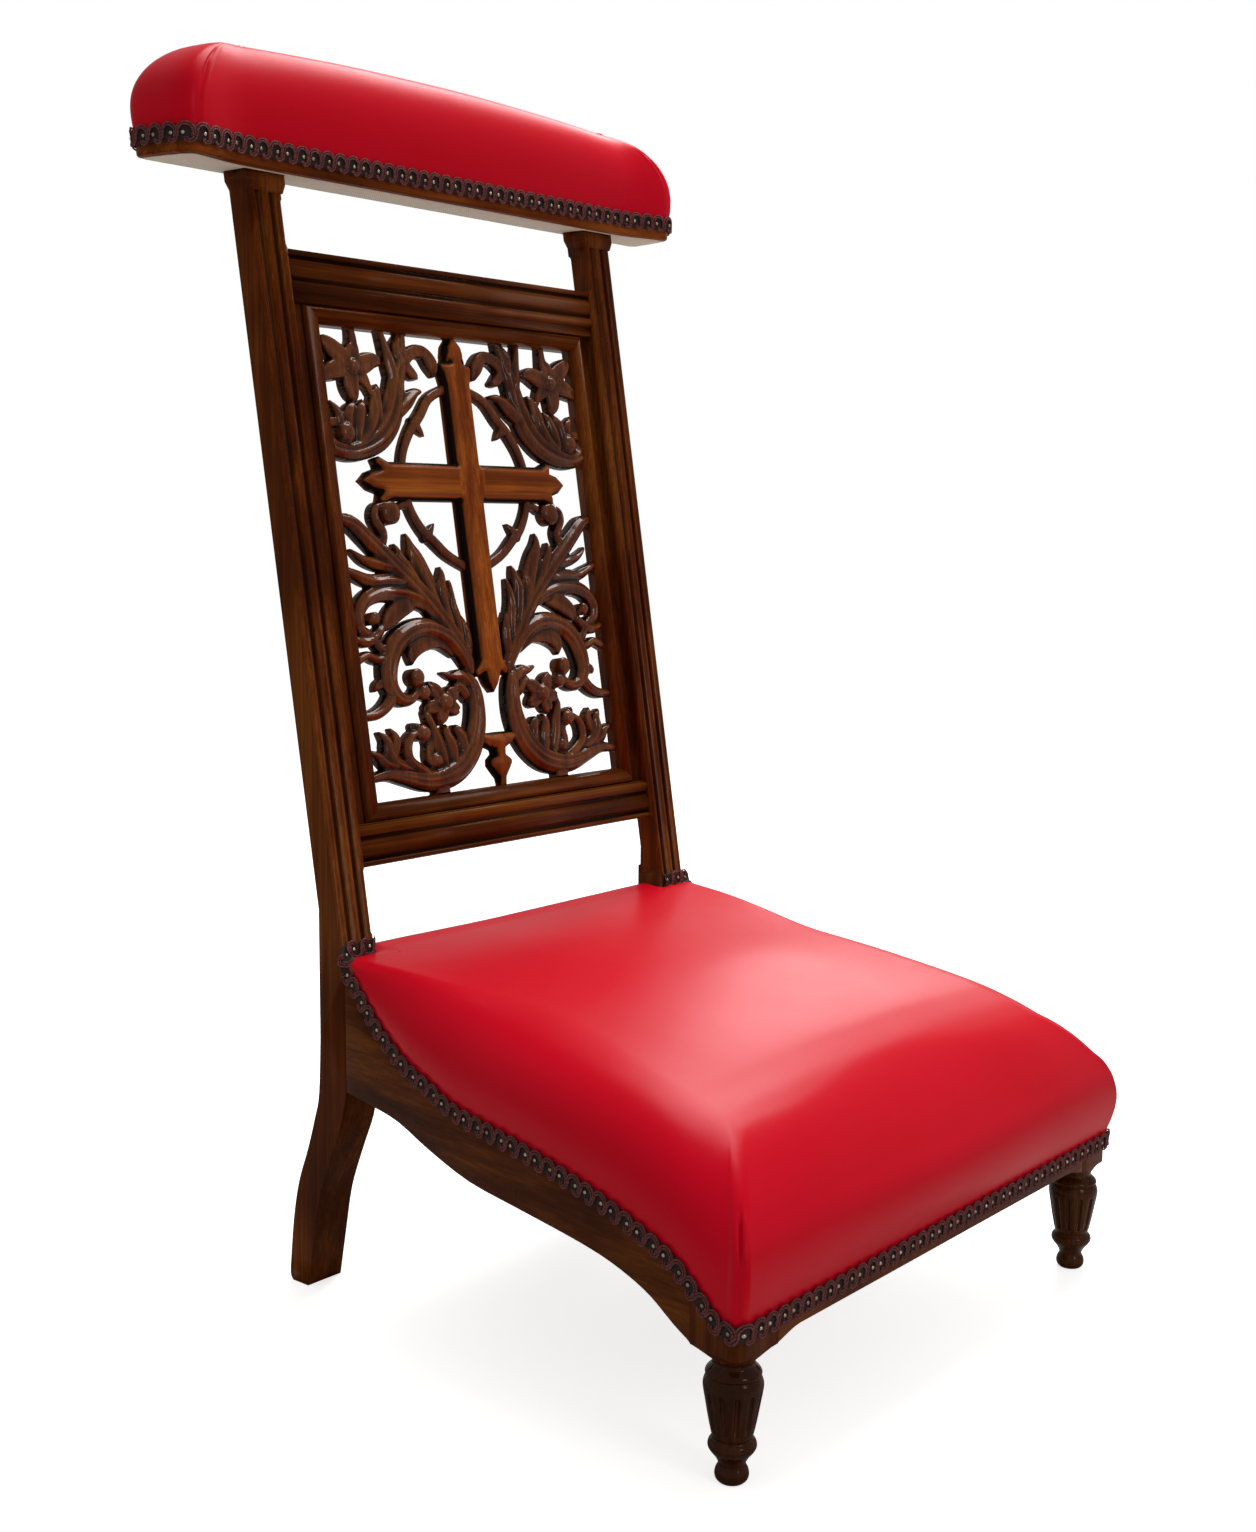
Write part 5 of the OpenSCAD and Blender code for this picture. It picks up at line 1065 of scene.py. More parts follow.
def seat_edge_half():
    """Right half of the seat's edge from the middle of the front, and the places of its two corners.

    Each row has x, y, the height where the leather starts and how far it bulges.
    """
    radius = SEAT_CORNER_R + COVER_OUT
    centre = (FRONT_W / 2 - SEAT_CORNER_R, SEAT_CORNER_R - FRONT_OUT)
    low = GIMP_RISE[0] + SKIRT
    rows = []
    for d in spaced(centre[0], 1.4, 6.0, 70, False, True)[:-1]:
        rows.append((d, -FRONT_OUT - COVER_OUT, low, FRONT_BULGE))
    for a in np.radians(np.linspace(-90, -4, SEAT_CORNER_STEPS)):
        rows.append((centre[0] + math.cos(a) * radius, centre[1] + math.sin(a) * radius, low,
                     mix(SIDE_BULGE, FRONT_BULGE, -a / (math.pi / 2))))
    corner = len(rows) - 1 - SEAT_CORNER_STEPS // 2
    start = SEAT_CORNER_R - FRONT_OUT + 1.0
    for d in spaced(SEAT_NOTCH_Y - start, 1.4, 5.5, 70, True, False)[1:]:
        y = start + d
        side_low = min(gimp_z(y) + SKIRT, seat_top(side_x(y), y) - 3.0)
        bulge = SIDE_BULGE * min(1, (1 - way(y)) * 5)
        rows.append((side_x(y) + COVER_OUT, y, min(side_low, STILE_FOOT_Z), bulge))
    side_end = len(rows)
    back_y = BACK_RAIL_END_Y + COVER_OUT
    for s in np.linspace(0, 1, 8)[1:]:
        x = mix(side_x(SEAT_NOTCH_Y) + COVER_OUT, SEAT_NOTCH_X, s)
        rows.append((x, SEAT_NOTCH_Y, STILE_FOOT_Z, 0))
    for s in np.linspace(0, 1, 7)[1:]:
        rows.append((SEAT_NOTCH_X, mix(SEAT_NOTCH_Y, back_y, s), mix(STILE_FOOT_Z, SEAT_BACK_LOW, s), 0))
    # As many points along the back as along the front, so that the top can be filled in rows
    count = corner - (len(rows) - side_end)
    for s in np.linspace(0, 1, count + 1)[1:]:
        rows.append((mix(SEAT_NOTCH_X, 0, s), back_y, SEAT_BACK_LOW, 0))
    return np.array(rows), corner, side_end - 1


def ring_of(half):
    """Both hands of an edge, running on from the right half round to the left."""
    other = half[-2:0:-1].copy()
    other[:, 0] *= -1
    return np.concatenate([half, other])


def shares_of(*lines):
    """How far along its line each point lies, as the mean of lines with as many points."""
    runs = []
    for line in lines:
        run = run_of(line)
        runs.append(run / run[-1])
    return np.mean(runs, axis=0)


def patch(ring, corners):
    """Fills a ring with rows of points between its four corners, by their places on the ring."""
    a, b, c, d = corners
    n = len(ring)
    front = ring[np.arange(a, b + 1) % n]
    right = ring[np.arange(b, c + 1) % n]
    back = ring[np.arange(c, d + 1) % n][::-1]
    left = ring[np.arange(d, a + n + 1 if d > a else a + 1) % n][::-1]
    u = shares_of(front, back)[None, :, None]
    v = shares_of(left, right)[:, None, None]
    flat = (1 - v) * front[None] + v * back[None] + (1 - u) * left[:, None] + u * right[:, None]
    flat -= ((1 - u) * (1 - v) * front[0] + u * (1 - v) * front[-1]
             + u * v * back[-1] + (1 - u) * v * back[0])
    # Drawn out evenly between its edges, so that no row crosses another
    for _ in range(PATCH_ROUNDS):
        flat[1:-1, 1:-1] = (flat[:-2, 1:-1] + flat[2:, 1:-1] + flat[1:-1, :-2] + flat[1:-1, 2:]) / 4
    return flat


def cushion_shell(ring_rows, top_rows, corners):
    """Joins rows of rings to the patch on top; gives points and faces."""
    n = ring_rows.shape[1]
    rings = len(ring_rows)
    faces = grid_faces(rings, n, closed=True)
    rows, columns = top_rows.shape[:2]
    a, b, _, d = corners
    index = -np.ones((rows, columns), int)
    last = (rings - 1) * n
    for i in range(columns):
        index[0, i] = last + (a + i) % n
        index[-1, i] = last + (d - i) % n
    for j in range(rows):
        index[j, 0] = last + (a - j) % n
        index[j, -1] = last + (b + j) % n
    inner = index < 0
    index[inner] = rings * n + np.arange(inner.sum())
    points = np.concatenate([ring_rows.reshape(-1, 3), top_rows[inner]])
    places = index.ravel()
    faces += [tuple(places[k] for k in quad) for quad in grid_faces(rows, columns)]
    return points, faces


def lumps(points, size, seed):
    """Slow unevenness of hair stuffing, from a few crossed waves."""
    rng = np.random.default_rng(seed)
    total = np.zeros(len(points))
    for _ in range(9):
        direction = rng.normal(size=3)
        direction /= np.linalg.norm(direction)
        total += np.sin(points @ direction * (2 * math.pi / size) * rng.uniform(0.6, 1.5)
                        + rng.uniform(0, 6.28))
    return total / 9


def fold_profile(a):
    """Cross-section of a pleat: a sharp valley beside a soft ridge, a in mm from the fold."""
    ridge = 1.5 * np.exp(-((a - 3.2) / 2.6) ** 2)
    valley = -3.0 * np.exp(-((a + 0.2) / 1.3) ** 2)
    return ridge + valley


def outward(points, faces):
    """Vertex normals of a shell."""
    mesh = bpy.data.meshes.new("measure")
    mesh.from_pydata(points.tolist(), [], faces)
    normals = np.zeros(len(points) * 3)
    mesh.vertex_normals.foreach_get("vector", normals)
    bpy.data.meshes.remove(mesh)
    return normals.reshape(-1, 3)


def closed_over(rows, fold, front, back, height):
    """Adds the skirt under the gimp, and the top between the corners at front and back."""
    n = len(rows[0])
    skirt = rows[0].copy()
    skirt[:, 2] -= SKIRT
    top = patch(rows[-1], (n - front, n + front, n + back, 2 * n - back))
    top[..., 2] = height(top[..., 0], top[..., 1])
    corners = (n - front, front, back, n - back)
    return np.array([skirt] + rows), top, corners, np.concatenate([np.zeros(n)] + fold)


def seat_points():
    half, corner, side_end = seat_edge_half()
    edge = ring_of(half)
    mid = np.array([0.0, float(at_way(0.5))])
    shares = even_shares(SEAT_ROLL, 95.0, SEAT_POWER, SEAT_ROWS)
    # The roll dies down towards the back, where the leather is drawn tight
    rolls = SEAT_ROLL * corner_roll(edge[:, 0], edge[:, 1])
    rolls = rolls * mix(1, 0.28, smoothstep(0.6, 1.0, way(edge[:, 1])))
    inward = unit(mid - edge[:, :2])
    rows = []
    fold = []
    run = run_of(half[:, :2])
    run -= run[corner]
    run = np.concatenate([run, run[-2:0:-1]])
    for s in shares:
        d = roll_in(s, rolls, edge[:, 3], SEAT_POWER)
        x = edge[:, 0] + inward[:, 0] * d
        y = edge[:, 1] + inward[:, 1] * d
        rows.append(np.stack([x, y, mix(edge[:, 2], seat_top(x, y), s)], axis=1))
        deep = mix(0.2, 1.2, smoothstep(0.4, 0.6, s)) * (1 - smoothstep(0.68, 0.78, s))
        deep *= smoothstep(0.0, 0.08, s)
        lean = 2.0 * (0.75 - s)
        fold.append(fold_profile(-run + lean) * deep)
    return closed_over(rows, fold, corner, side_end, seat_top)


def arm_edge_half(out):
    """Right half of the armrest's outline, moved out, from the middle of the front to that of the back."""
    line = [(u * ARM_HALF, ARM_FRONT_Y + v * ARM_HOLLOW) for u, v in ARM_FRONT_SHARES]
    line += [(u * ARM_HALF, ARM_FRONT_Y + v * ARM_D) for u, v in ARM_END_SHARES]
    line = curve(line, 12)
    run = np.gradient(line, axis=0)
    normal = np.stack([run[:, 1], -run[:, 0]], axis=1)
    line = line + unit(normal) * out
    line[[0, -1], 0] = 0
    return line


def arm_crest(x):
    return ARM_UNDER_Z + ARM_PAD_H - ARM_FALL * (x / ARM_HALF) ** 2


def arm_points():
    line = arm_edge_half(COVER_OUT)
    run = run_of(line)
    horn = run[np.argmin(line[:, 1] + (line[:, 0] < ARM_HALF * 0.8) * 999)]
    last = run[np.argmin(np.hypot(line[:, 0] - ARM_HALF, line[:, 1] - ARM_FRONT_Y - ARM_D))]
    at = np.concatenate([
        spaced(horn, 1.3, 6.0, 60, False, True)[:-1],
        horn + spaced(last - horn, 1.3, 4.0, 30, True, True)[:-1],
        last + spaced(run[-1] - last, 1.6, 6.0, 60, True, False)])
    half = np.stack([np.interp(at, run, line[:, k]) for k in (0, 1)], axis=1)
    front_corner = int(np.argmin(np.abs(at - horn)))
    back_corner = len(at) - 1 - front_corner
    edge = ring_of(half)
    # Each point rolls in towards a line along the middle that stops short of the ends
    spine = ARM_HALF - ARM_SLOPE_L
    middle = ARM_FRONT_Y + (ARM_HOLLOW + ARM_D) / 2
    inward = np.stack([np.clip(edge[:, 0], -spine, spine), np.full(len(edge), middle)], axis=1) - edge
    reach = np.linalg.norm(inward, axis=1)
    inward = unit(inward)
    half_run = np.where(at > run[-1] / 2, 200.0, at - horn)
    around = np.concatenate([half_run, half_run[-2:0:-1]])
    rows = []
    fold = []
    for s in even_shares(ARM_ROLL_SHARE * 32, 75.0, ARM_POWER, ARM_ROWS):
        d = roll_in(s, ARM_ROLL_SHARE * reach, ARM_BULGE, ARM_POWER)
        p = edge + inward * d[:, None]
        rows.append(np.concatenate([p, mix(ARM_LOW, arm_crest(p[:, 0]), s)[:, None]], axis=1))
        deep = mix(0.2, 1.0, smoothstep(0.35, 0.7, s)) * (1 - smoothstep(0.86, 0.95, s))
        deep *= np.where(edge[:, 0] > 0, 0.4, 1.0)
        fold.append(fold_profile(-(around - mix(2.0, -6.0, s))) * deep * smoothstep(0.0, 0.1, s))
    return closed_over(rows, fold, front_corner, back_corner, lambda x, y: arm_crest(x))


def cushion(name, shape, seed, lump, replaced):
    rows, top, corners, fold = shape
    points, faces = cushion_shell(rows, top, corners)
    normals = outward(points, faces)
    fold = np.concatenate([fold, np.zeros(len(points) - len(fold))])
    # The leather is even where it is nailed down
    n = rows.shape[1]
    loose = np.concatenate([
        np.zeros(n), np.repeat(smoothstep(0, 0.3, np.linspace(0, 1, len(rows) - 1)), n),
        np.ones(len(points) - len(rows) * n)])
    move = fold + lump * lumps(points, LUMP_L, seed) * loose
    move = move + SMALL_LUMP_SHARE * lump * lumps(points, SMALL_LUMP_L, seed + 1) * loose
    points = points + normals * move[:, None]
    obj = mesh_piece(name, points, faces, FINISHES["leather"])
    thicken(obj, LEATHER_T, -1)
    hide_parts(*replaced)


# Cloth under the seat and the armrest

def trim(bm):
    """Takes away the points that no face uses; gives the area that is left."""
    bmesh.ops.delete(bm, geom=[v for v in bm.verts if not v.link_faces], context="VERTS")
    return sum(f.calc_area() for f in bm.faces)


def sheet_piece(name, grid, keep, finish, replaced):
    """A cloth from rows of points; keep says which of its squares are there."""
    faces = [f for f, k in zip(grid_faces(*grid.shape[:2]), keep.ravel()) if k]
    obj = mesh_piece(name, grid.reshape(-1, 3), faces, FINISHES[finish])
    area = rework(obj.data, trim)
    thicken(obj, CLOTH_T, 0)
    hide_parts(replaced)


def lining_piece():
    """Pale cloth under the armrest's board, cut out round the heads of the stiles."""
    edge = arm_edge_half(-LINING_IN)
    widest = int(np.argmax(edge[:, 0]))
    xs = np.unique(np.concatenate([np.linspace(0, edge[widest, 0], 80), HEAD_X]))
    front = np.interp(xs, edge[:widest + 1, 0], edge[:widest + 1, 1])
    back = np.interp(xs, edge[:widest - 1:-1, 0], edge[:widest - 1:-1, 1])
    near = np.maximum(HEAD_Y[0], mix(front, back, 0.12))
    far = np.minimum(HEAD_Y[1], mix(front, back, 0.9))
    knots = np.concatenate([
        [mix(front, near, s) for s in np.linspace(0, 1, 4)[:-1]],
        [mix(near, far, s) for s in np.linspace(0, 1, 10)[:-1]],
        [mix(far, back, s) for s in np.linspace(0, 1, 3)]])
    knots = np.concatenate([knots[:, :0:-1], knots], axis=1)
    xs = np.concatenate([-xs[:0:-1], xs])
    grid = np.stack(np.broadcast_arrays(xs[None], knots, ARM_UNDER_Z - 0.55), axis=-1).copy()
    grid[..., 2] -= 0.12 * (1 + lumps(grid.reshape(-1, 3), 40.0, 3).reshape(knots.shape))
    mid = (np.abs(grid[:-1, :-1, :2]) + np.abs(grid[1:, 1:, :2])) / 2
    keep = ~((mid[..., 0] > HEAD_X[0]) & (mid[..., 0] < HEAD_X[1])
             & (mid[..., 1] > HEAD_Y[0]) & (mid[..., 1] < HEAD_Y[1]))
    sheet_piece("armrest_lining_cloth", grid, keep, "lining", "armrest_lining")


def hessian_piece():
    ys = np.concatenate([np.linspace(WEB_Y[0], KNEE_Y - 5, 60), np.linspace(KNEE_Y - 4, WEB_Y[1], 6)])
    wide = np.where(ys < KNEE_Y - 4.5, side_x(ys) - WEB_IN, INNER_X - WEB_IN)
    x = np.linspace(-1, 1, 61)[None] * wide[:, None]
    y = np.broadcast_to(ys[:, None], x.shape)
    z = rail_top(y) + HESSIAN_LIFT
    grid = np.stack([x, y, z], axis=-1)
    grid[..., 2] += 0.1 * lumps(grid.reshape(-1, 3), 30.0, 5).reshape(x.shape)
    whole = np.ones((x.shape[0] - 1, x.shape[1] - 1), bool)
    sheet_piece("seat_hessian_cloth", grid, whole, "hessian", "seat_hessian")


def webbing_piece():
    """Strips of webbing on the rails that go over and under each other."""
    strips = []
    pitch_x = 2 * (INNER_X - WEB_IN) / 5
    pitch_y = (KNEE_Y - WEB_POST_Y) / 4
    across_x = (np.arange(5) - 2) * pitch_x
    along_y = WEB_POST_Y + (np.arange(4) + 0.5) * pitch_y
    for i, x0 in enumerate(across_x):
        y = np.linspace(*WEB_Y, 80)
        signs = [(-1) ** (i + j) for j in range(4)]
        wave = np.interp(y, [WEB_Y[0], *along_y, WEB_Y[1]], [-1, *signs, -1])
        x = x0 + np.linspace(-WEB_W / 2, WEB_W / 2, 9)
        z = rail_top(y) + WEB_LIFT + WEB_WAVE * np.sin(wave * math.pi / 2)
        strips.append(np.stack(np.broadcast_arrays(x[None], y[:, None], z[:, None]), axis=-1))
    for j, y0 in enumerate(along_y):
        end = float(side_x(y0 + WEB_W / 2)) - WEB_IN
        x = np.linspace(-end, end, 90)
        signs = [-(-1) ** (i + j) for i in range(5)]
        wave = np.interp(x, [-end, *across_x, end], [-1, *signs, -1])
        y = y0 + np.linspace(-WEB_W / 2, WEB_W / 2, 9)
        z = rail_top(y)[None] + WEB_LIFT + WEB_WAVE * np.sin(wave * math.pi / 2)[:, None]
        strips.append(np.stack(np.broadcast_arrays(x[:, None], y[None], z), axis=-1)[:, ::-1])
    points = np.concatenate([s.reshape(-1, 3) for s in strips])
    faces = []
    first = 0
    for s in strips:
        faces += grid_faces(*s.shape[:2], start=first)
        first += s.shape[0] * s.shape[1]
    obj = mesh_piece("seat_webbing_strips", points, faces, FINISHES["jute"])
    thicken(obj, WEB_T, 0)
    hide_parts("seat_webbing")


# Gimp and nails

def out_from(line):
    """The level way out from each point of a line that runs round to the left."""
    run = np.gradient(line, axis=0)
    return unit(np.stack([run[:, 1], -run[:, 0], np.zeros(len(line))], axis=1))


def seat_gimp_path():
    """The middle of the gimp from one stile's foot round the front to the other's, and the ways out."""
    tilt = math.atan2((FRONT_W - BACK_W) / 2, SIDE_LEN)
    half = [(x, -FRONT_OUT - GIMP_OUT, GIMP_RISE[0], 0, -1, 0) for x in np.linspace(0, FRONT_W / 2 - 10, 40)]
    centre = (FRONT_W / 2 - GIMP_CORNER_R, -FRONT_OUT + GIMP_CORNER_R)
    radius = GIMP_CORNER_R + GIMP_OUT
    for a in np.radians(np.linspace(-80, -5, 8)):
        half.append((centre[0] + math.cos(a) * radius, centre[1] + math.sin(a) * radius,
                     GIMP_RISE[0], math.cos(a), math.sin(a), 0))
    for y in np.linspace(centre[1] + 4, KNEE_Y - 9, 90):
        half.append((side_x(y) + GIMP_OUT, y, float(gimp_z(y)), math.cos(tilt), math.sin(tilt), 0))
    # Over the corner of the stile's foot, where its leather side turns down
    half.append((BACK_W / 2 + 1.5, KNEE_Y - 3.5, 286.5, 0.7, -0.7, 0.2))
    for x in (BACK_W / 2 - 4, BACK_W / 2 - 14, INNER_X + 12, INNER_X + 3):
        half.append((*on_slope(x, -GIMP_OUT, 18.0), 0, -math.cos(RAKE), math.sin(RAKE)))
    half = evenly(curve(half, 4)[:, :6], 400)
    mirror = (-1, 1, 1, -1, 1, 1)
    both = np.concatenate([half[:0:-1] * mirror, half])
    return both[:, :3], unit(both[:, 3:])


def arm_gimp_path():
    """The middle of the gimp round the armrest, from the middle of the back and round again."""
    ring = ring_of(arm_edge_half(GIMP_OUT))
    ring = np.roll(ring, len(ring) // 2, 0)
    ring = evenly(ring[np.r_[0:len(ring), 0]], 420)
    line = np.concatenate([ring, np.full((len(ring), 1), ARM_GIMP_Z)], axis=1)
    return line, out_from(line)


def path_object(name, path):
    """Edges along a path, with the way out kept on every point."""
    points, out = path
    mesh = bpy.data.meshes.new(name)
    mesh.from_pydata(place(points).tolist(), [(k, k + 1) for k in range(len(points) - 1)], [])
    attribute = mesh.attributes.new("out", "FLOAT_VECTOR", "POINT")
    attribute.data.foreach_set("vector", np.array(out, np.float32).ravel())
    return show(bpy.data.objects.new(name, mesh))


def tube(line, radius, sides):
    """A tube of few faces along an open line, with closed ends."""
    line = np.asarray(line, float)
    verts = []
    faces = []
    n = len(line)
    for i in range(n):
        run = line[min(i + 1, n - 1)] - line[max(i - 1, 0)]
        run /= np.linalg.norm(run)
        side = np.cross(run, (0, 0, 1))
        side /= np.linalg.norm(side)
        lift = np.cross(side, run)
        for k in range(sides):
            a = 2 * math.pi * (k + 0.5) / sides
            verts.append(line[i] + radius * (math.cos(a) * side + math.sin(a) * lift))
    for i in range(n - 1):
        for k in range(sides):
            a = i * sides + k
            b = i * sides + (k + 1) % sides
            faces.append((a, a + sides, b + sides, b))
    faces.append(tuple(range(sides)))
    faces.append(tuple((n - 1) * sides + k for k in reversed(range(sides))))
    return verts, faces


# One scroll of the gimp, in mm: along the braid, up it, and out from it
SCROLL = [(5.4, -3.2, 0.5), (6.2, 0.0, 0.9), (5.2, 3.9, 1.2), (1.8, 6.4, 1.2), (-2.4, 6.3, 1.1),
          (-5.2, 3.6, 1.1), (-5.8, 0.2, 1.0), (-6.6, -3.4, 0.9), (-9.0, -6.0, 0.8), (-12.2, -5.6, 0.6),
          (-13.0, -3.2, 0.4)]


def unit_object(name, verts, faces, scale):
    """An object that isn't shown itself, for the braid to repeat."""
    mesh = bpy.data.meshes.new(name)
    mesh.from_pydata([tuple(np.array(p) * scale) for p in verts], [], faces)
    mesh.shade_smooth()
    return bpy.data.objects.new(name, mesh)


def scroll_unit():
    """Two cords side by side along the scroll, as the object that the braid repeats."""
    line = evenly(curve(SCROLL, 4), 17)
    run = np.gradient(line, axis=0)
    beside = unit(np.stack([-run[:, 1], run[:, 0], np.zeros(len(line))], axis=1))
    verts = []
    faces = []
    for offset, lift in ((-0.9, 0.0), (0.9, 0.3)):
        v, f = tube(line + beside * offset + (0, 0, lift), 0.8, 5)
        faces += [tuple(len(verts) + i for i in face) for face in f]
        verts += v
    return unit_object("gimp_scroll", verts, faces, MM)


def nail_unit(radius):
    """A low domed nail head, lying in X and Y."""
    verts = [(0, 0, 0.62)]
    faces = []
    levels = ((0.55, 0.5), (0.9, 0.2), (1.0, 0.0))
    count = 8
    for r, h in levels:
        verts += [(r * math.cos(2 * math.pi * k / count), r * math.sin(2 * math.pi * k / count), h)
                  for k in range(count)]
    for k in range(count):
        faces.append((0, 1 + k, 1 + (k + 1) % count))
        for j in range(2):
            a = 1 + j * count
            faces.append((a + k, a + count + k, a + count + (k + 1) % count, a + (k + 1) % count))
    faces.append(tuple(reversed(range(1 + 2 * count, 1 + 3 * count))))
    return unit_object("nail_head", verts, faces, radius)


def repeat_tree():
    """Geometry Nodes that lay units in a row and bend the row along a path."""
    tree = bpy.data.node_groups.new("Repeat along the gimp", "GeometryNodeTree")
    for name, kind in (("Geometry", "Geometry"), ("Unit", "Object"), ("Material", "Material"),
                       ("Pitch", "Float"), ("Proud", "Float"), ("Pair shift", "Float")):
        tree.interface.new_socket(name, in_out="INPUT", socket_type="NodeSocket" + kind)
    tree.interface.new_socket("Geometry", in_out="OUTPUT", socket_type="NodeSocketGeometry")
    of = tree.nodes.new("NodeGroupInput").outputs
    end = tree.nodes.new("NodeGroupOutput")
    curves = put(tree, "GeometryNodeMeshToCurve", {"Mesh": of["Geometry"]}).outputs[0]
    length = put(tree, "GeometryNodeCurveLength", {"Curve": curves}).outputs[0]
    count = sums(tree, "FLOOR", sums(tree, "DIVIDE", length, of["Pitch"]))
    step = sums(tree, "DIVIDE", length, count)
    first = put(tree, "ShaderNodeCombineXYZ", {"X": sums(tree, "MULTIPLY", step, 0.6)}).outputs[0]
    stride = put(tree, "ShaderNodeCombineXYZ", {"X": step}).outputs[0]
    row = put(tree, "GeometryNodeMeshLine", {"Count": count, "Start Location": first, "Offset": stride})
    odd = sums(tree, "MODULO", put(tree, "GeometryNodeInputIndex").outputs[0], 2.0)
    slide = sums(tree, "MULTIPLY", sums(tree, "SUBTRACT", odd, 0.5), of["Pair shift"])
    beside = put(tree, "ShaderNodeCombineXYZ", {"X": slide}).outputs[0]
    paired = put(tree, "GeometryNodeSetPosition", {"Geometry": row.outputs[0], "Offset": beside})
    single = put(tree, "GeometryNodeObjectInfo", {"Object": of["Unit"]}).outputs["Geometry"]
    set_out = put(tree, "GeometryNodeInstanceOnPoints", {"Points": paired.outputs[0], "Instance": single})
    real = put(tree, "GeometryNodeRealizeInstances", {"Geometry": set_out.outputs[0]})
    flat = put(tree, "ShaderNodeSeparateXYZ", {0: put(tree, "GeometryNodeInputPosition").outputs[0]}).outputs
    way_out = put(tree, "GeometryNodeInputNamedAttribute", {"Name": "out"},
                  data_type="FLOAT_VECTOR").outputs[0]
    read = put(tree, "GeometryNodeSampleCurve", {"Curves": curves}, data_type="FLOAT_VECTOR", mode="LENGTH")
    tree.links.new(way_out, next(s for s in read.inputs if s.name == "Value" and s.enabled))
    tree.links.new(flat[0], read.inputs["Length"])
    out = next(s for s in read.outputs if s.name == "Value" and s.enabled)
    up = vectors(tree, "CROSS_PRODUCT", {0: out, 1: read.outputs["Tangent"]})
    raised = vectors(tree, "SCALE", {0: up, "Scale": flat[1]})
    proud = vectors(tree, "SCALE", {0: out, "Scale": sums(tree, "ADD", flat[2], of["Proud"])})
    moved = vectors(tree, "ADD", {0: read.outputs["Position"], 1: raised})
    there = vectors(tree, "ADD", {0: moved, 1: proud})
    bent = put(tree, "GeometryNodeSetPosition", {"Geometry": real.outputs[0], "Position": there})
    painted = put(tree, "GeometryNodeSetMaterial", {"Geometry": bent.outputs[0], "Material": of["Material"]})
    tree.links.new(painted.outputs[0], end.inputs[0])
    return tree


def repeat_along(name, path, repeated, material, pitch, proud, pair_shift):
    """One plain mesh of an object repeated along a path."""
    line = path_object(name + "_line", path)
    tree = FINISHES["repeat"]
    modifier = line.modifiers.new("Repeat", "NODES")
    modifier.node_group = tree
    values = {"Unit": repeated, "Material": material, "Pitch": pitch, "Proud": proud,
              "Pair shift": pair_shift}
    for item in tree.interface.items_tree:
        if item.item_type == "SOCKET" and item.in_out == "INPUT" and item.name in values:
            modifier[item.identifier] = values[item.name]
    bpy.context.view_layer.update()
    made = evaluated(line)
    made.name = name
    bpy.data.objects.remove(line)
    obj = show(bpy.data.objects.new(name, made))
    if not made.materials:
        made.materials.append(material)
    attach(obj, "root")
    return obj


def ground_strip(name, path, width):
    """The flat ground of the gimp, a thin band along the path."""
    line, out = path
    up = unit(np.cross(out, unit(np.gradient(line, axis=0))))
    section = [(-width / 2, 0), (width / 2, 0), (width / 2 - 0.5, GIMP_GROUND_T),
               (-width / 2 + 0.5, GIMP_GROUND_T)]
    rows = np.stack([line + up * h + out * t for h, t in section], axis=1)
    faces = grid_faces(len(line), 4, closed=True)
    faces.append((0, 1, 2, 3))
    end = 4 * (len(line) - 1)
    faces.append((end + 3, end + 2, end + 1, end))
    obj = mesh_piece(name, rows.reshape(-1, 3), faces, FINISHES["ground"], sharp=40)
    rework(obj.data, lambda bm: bmesh.ops.recalc_face_normals(bm, faces=bm.faces[:]))
    return obj


# Stage and camera

# The camera that the proportions were read with: its picture, focal length and centre in pixels,
# its place in millimetres from the front legs, and how it is turned
PICTURE = (1256, 1532)
FOCAL = 1886.2986
CENTRE = (619.3938, 785.9845)
CAMERA_AT = (-1203.9867, -702.322, 638.1629)
CAMERA_TURN = (-49.95, 8.12, 0.57)
SENSOR = 36.0

# Lamps: place, aim and size in metres
LAMPS = {
    "overhead": ((0.75, 0.25, 2.5), (0, -0.1, 0.3), (1.3, 1.3)),
    "window": ((2.31, 0.9, 2.22), (0, -0.1, 0.25), (0.8, 2.4)),
    "front": ((-0.4, -2.4, 1.5), (0, 0, 0.4), (0.5, 0.9)),
}


def make_camera():
    yaw, pitch, roll = (math.radians(v) for v in CAMERA_TURN)
    forward = Vector((-math.sin(yaw) * math.cos(pitch), math.cos(yaw) * math.cos(pitch), -math.sin(pitch)))
    right = Vector((math.cos(yaw), math.sin(yaw), 0))
    up = right.cross(forward)
    right_r = right * math.cos(roll) + up * math.sin(roll)
    up_r = up * math.cos(roll) - right * math.sin(roll)
    data = bpy.data.cameras.new("camera")
    data.sensor_width = SENSOR
    data.lens = SENSOR * FOCAL / PICTURE[1]
    data.shift_x = (PICTURE[0] / 2 - CENTRE[0]) / PICTURE[1]
    data.shift_y = (CENTRE[1] - PICTURE[1] / 2) / PICTURE[1]
    camera = show(bpy.data.objects.new("camera", data))
    turn = Matrix((right_r, up_r, -forward)).transposed().to_4x4()
    camera.matrix_world = Matrix.Translation(Vector(place(CAMERA_AT))) @ turn
    bpy.context.scene.camera = camera


def soft_light(name, at, aim, size, power):
    data = bpy.data.lights.new(name, "AREA")
    data.shape = "RECTANGLE"
    data.size, data.size_y = size
    data.energy = power
    obj = show(bpy.data.objects.new(name, data))
    obj.location = at
    obj.rotation_mode = "QUATERNION"
    obj.rotation_quaternion = (Vector(aim) - Vector(at)).to_track_quat("-Z", "Y")


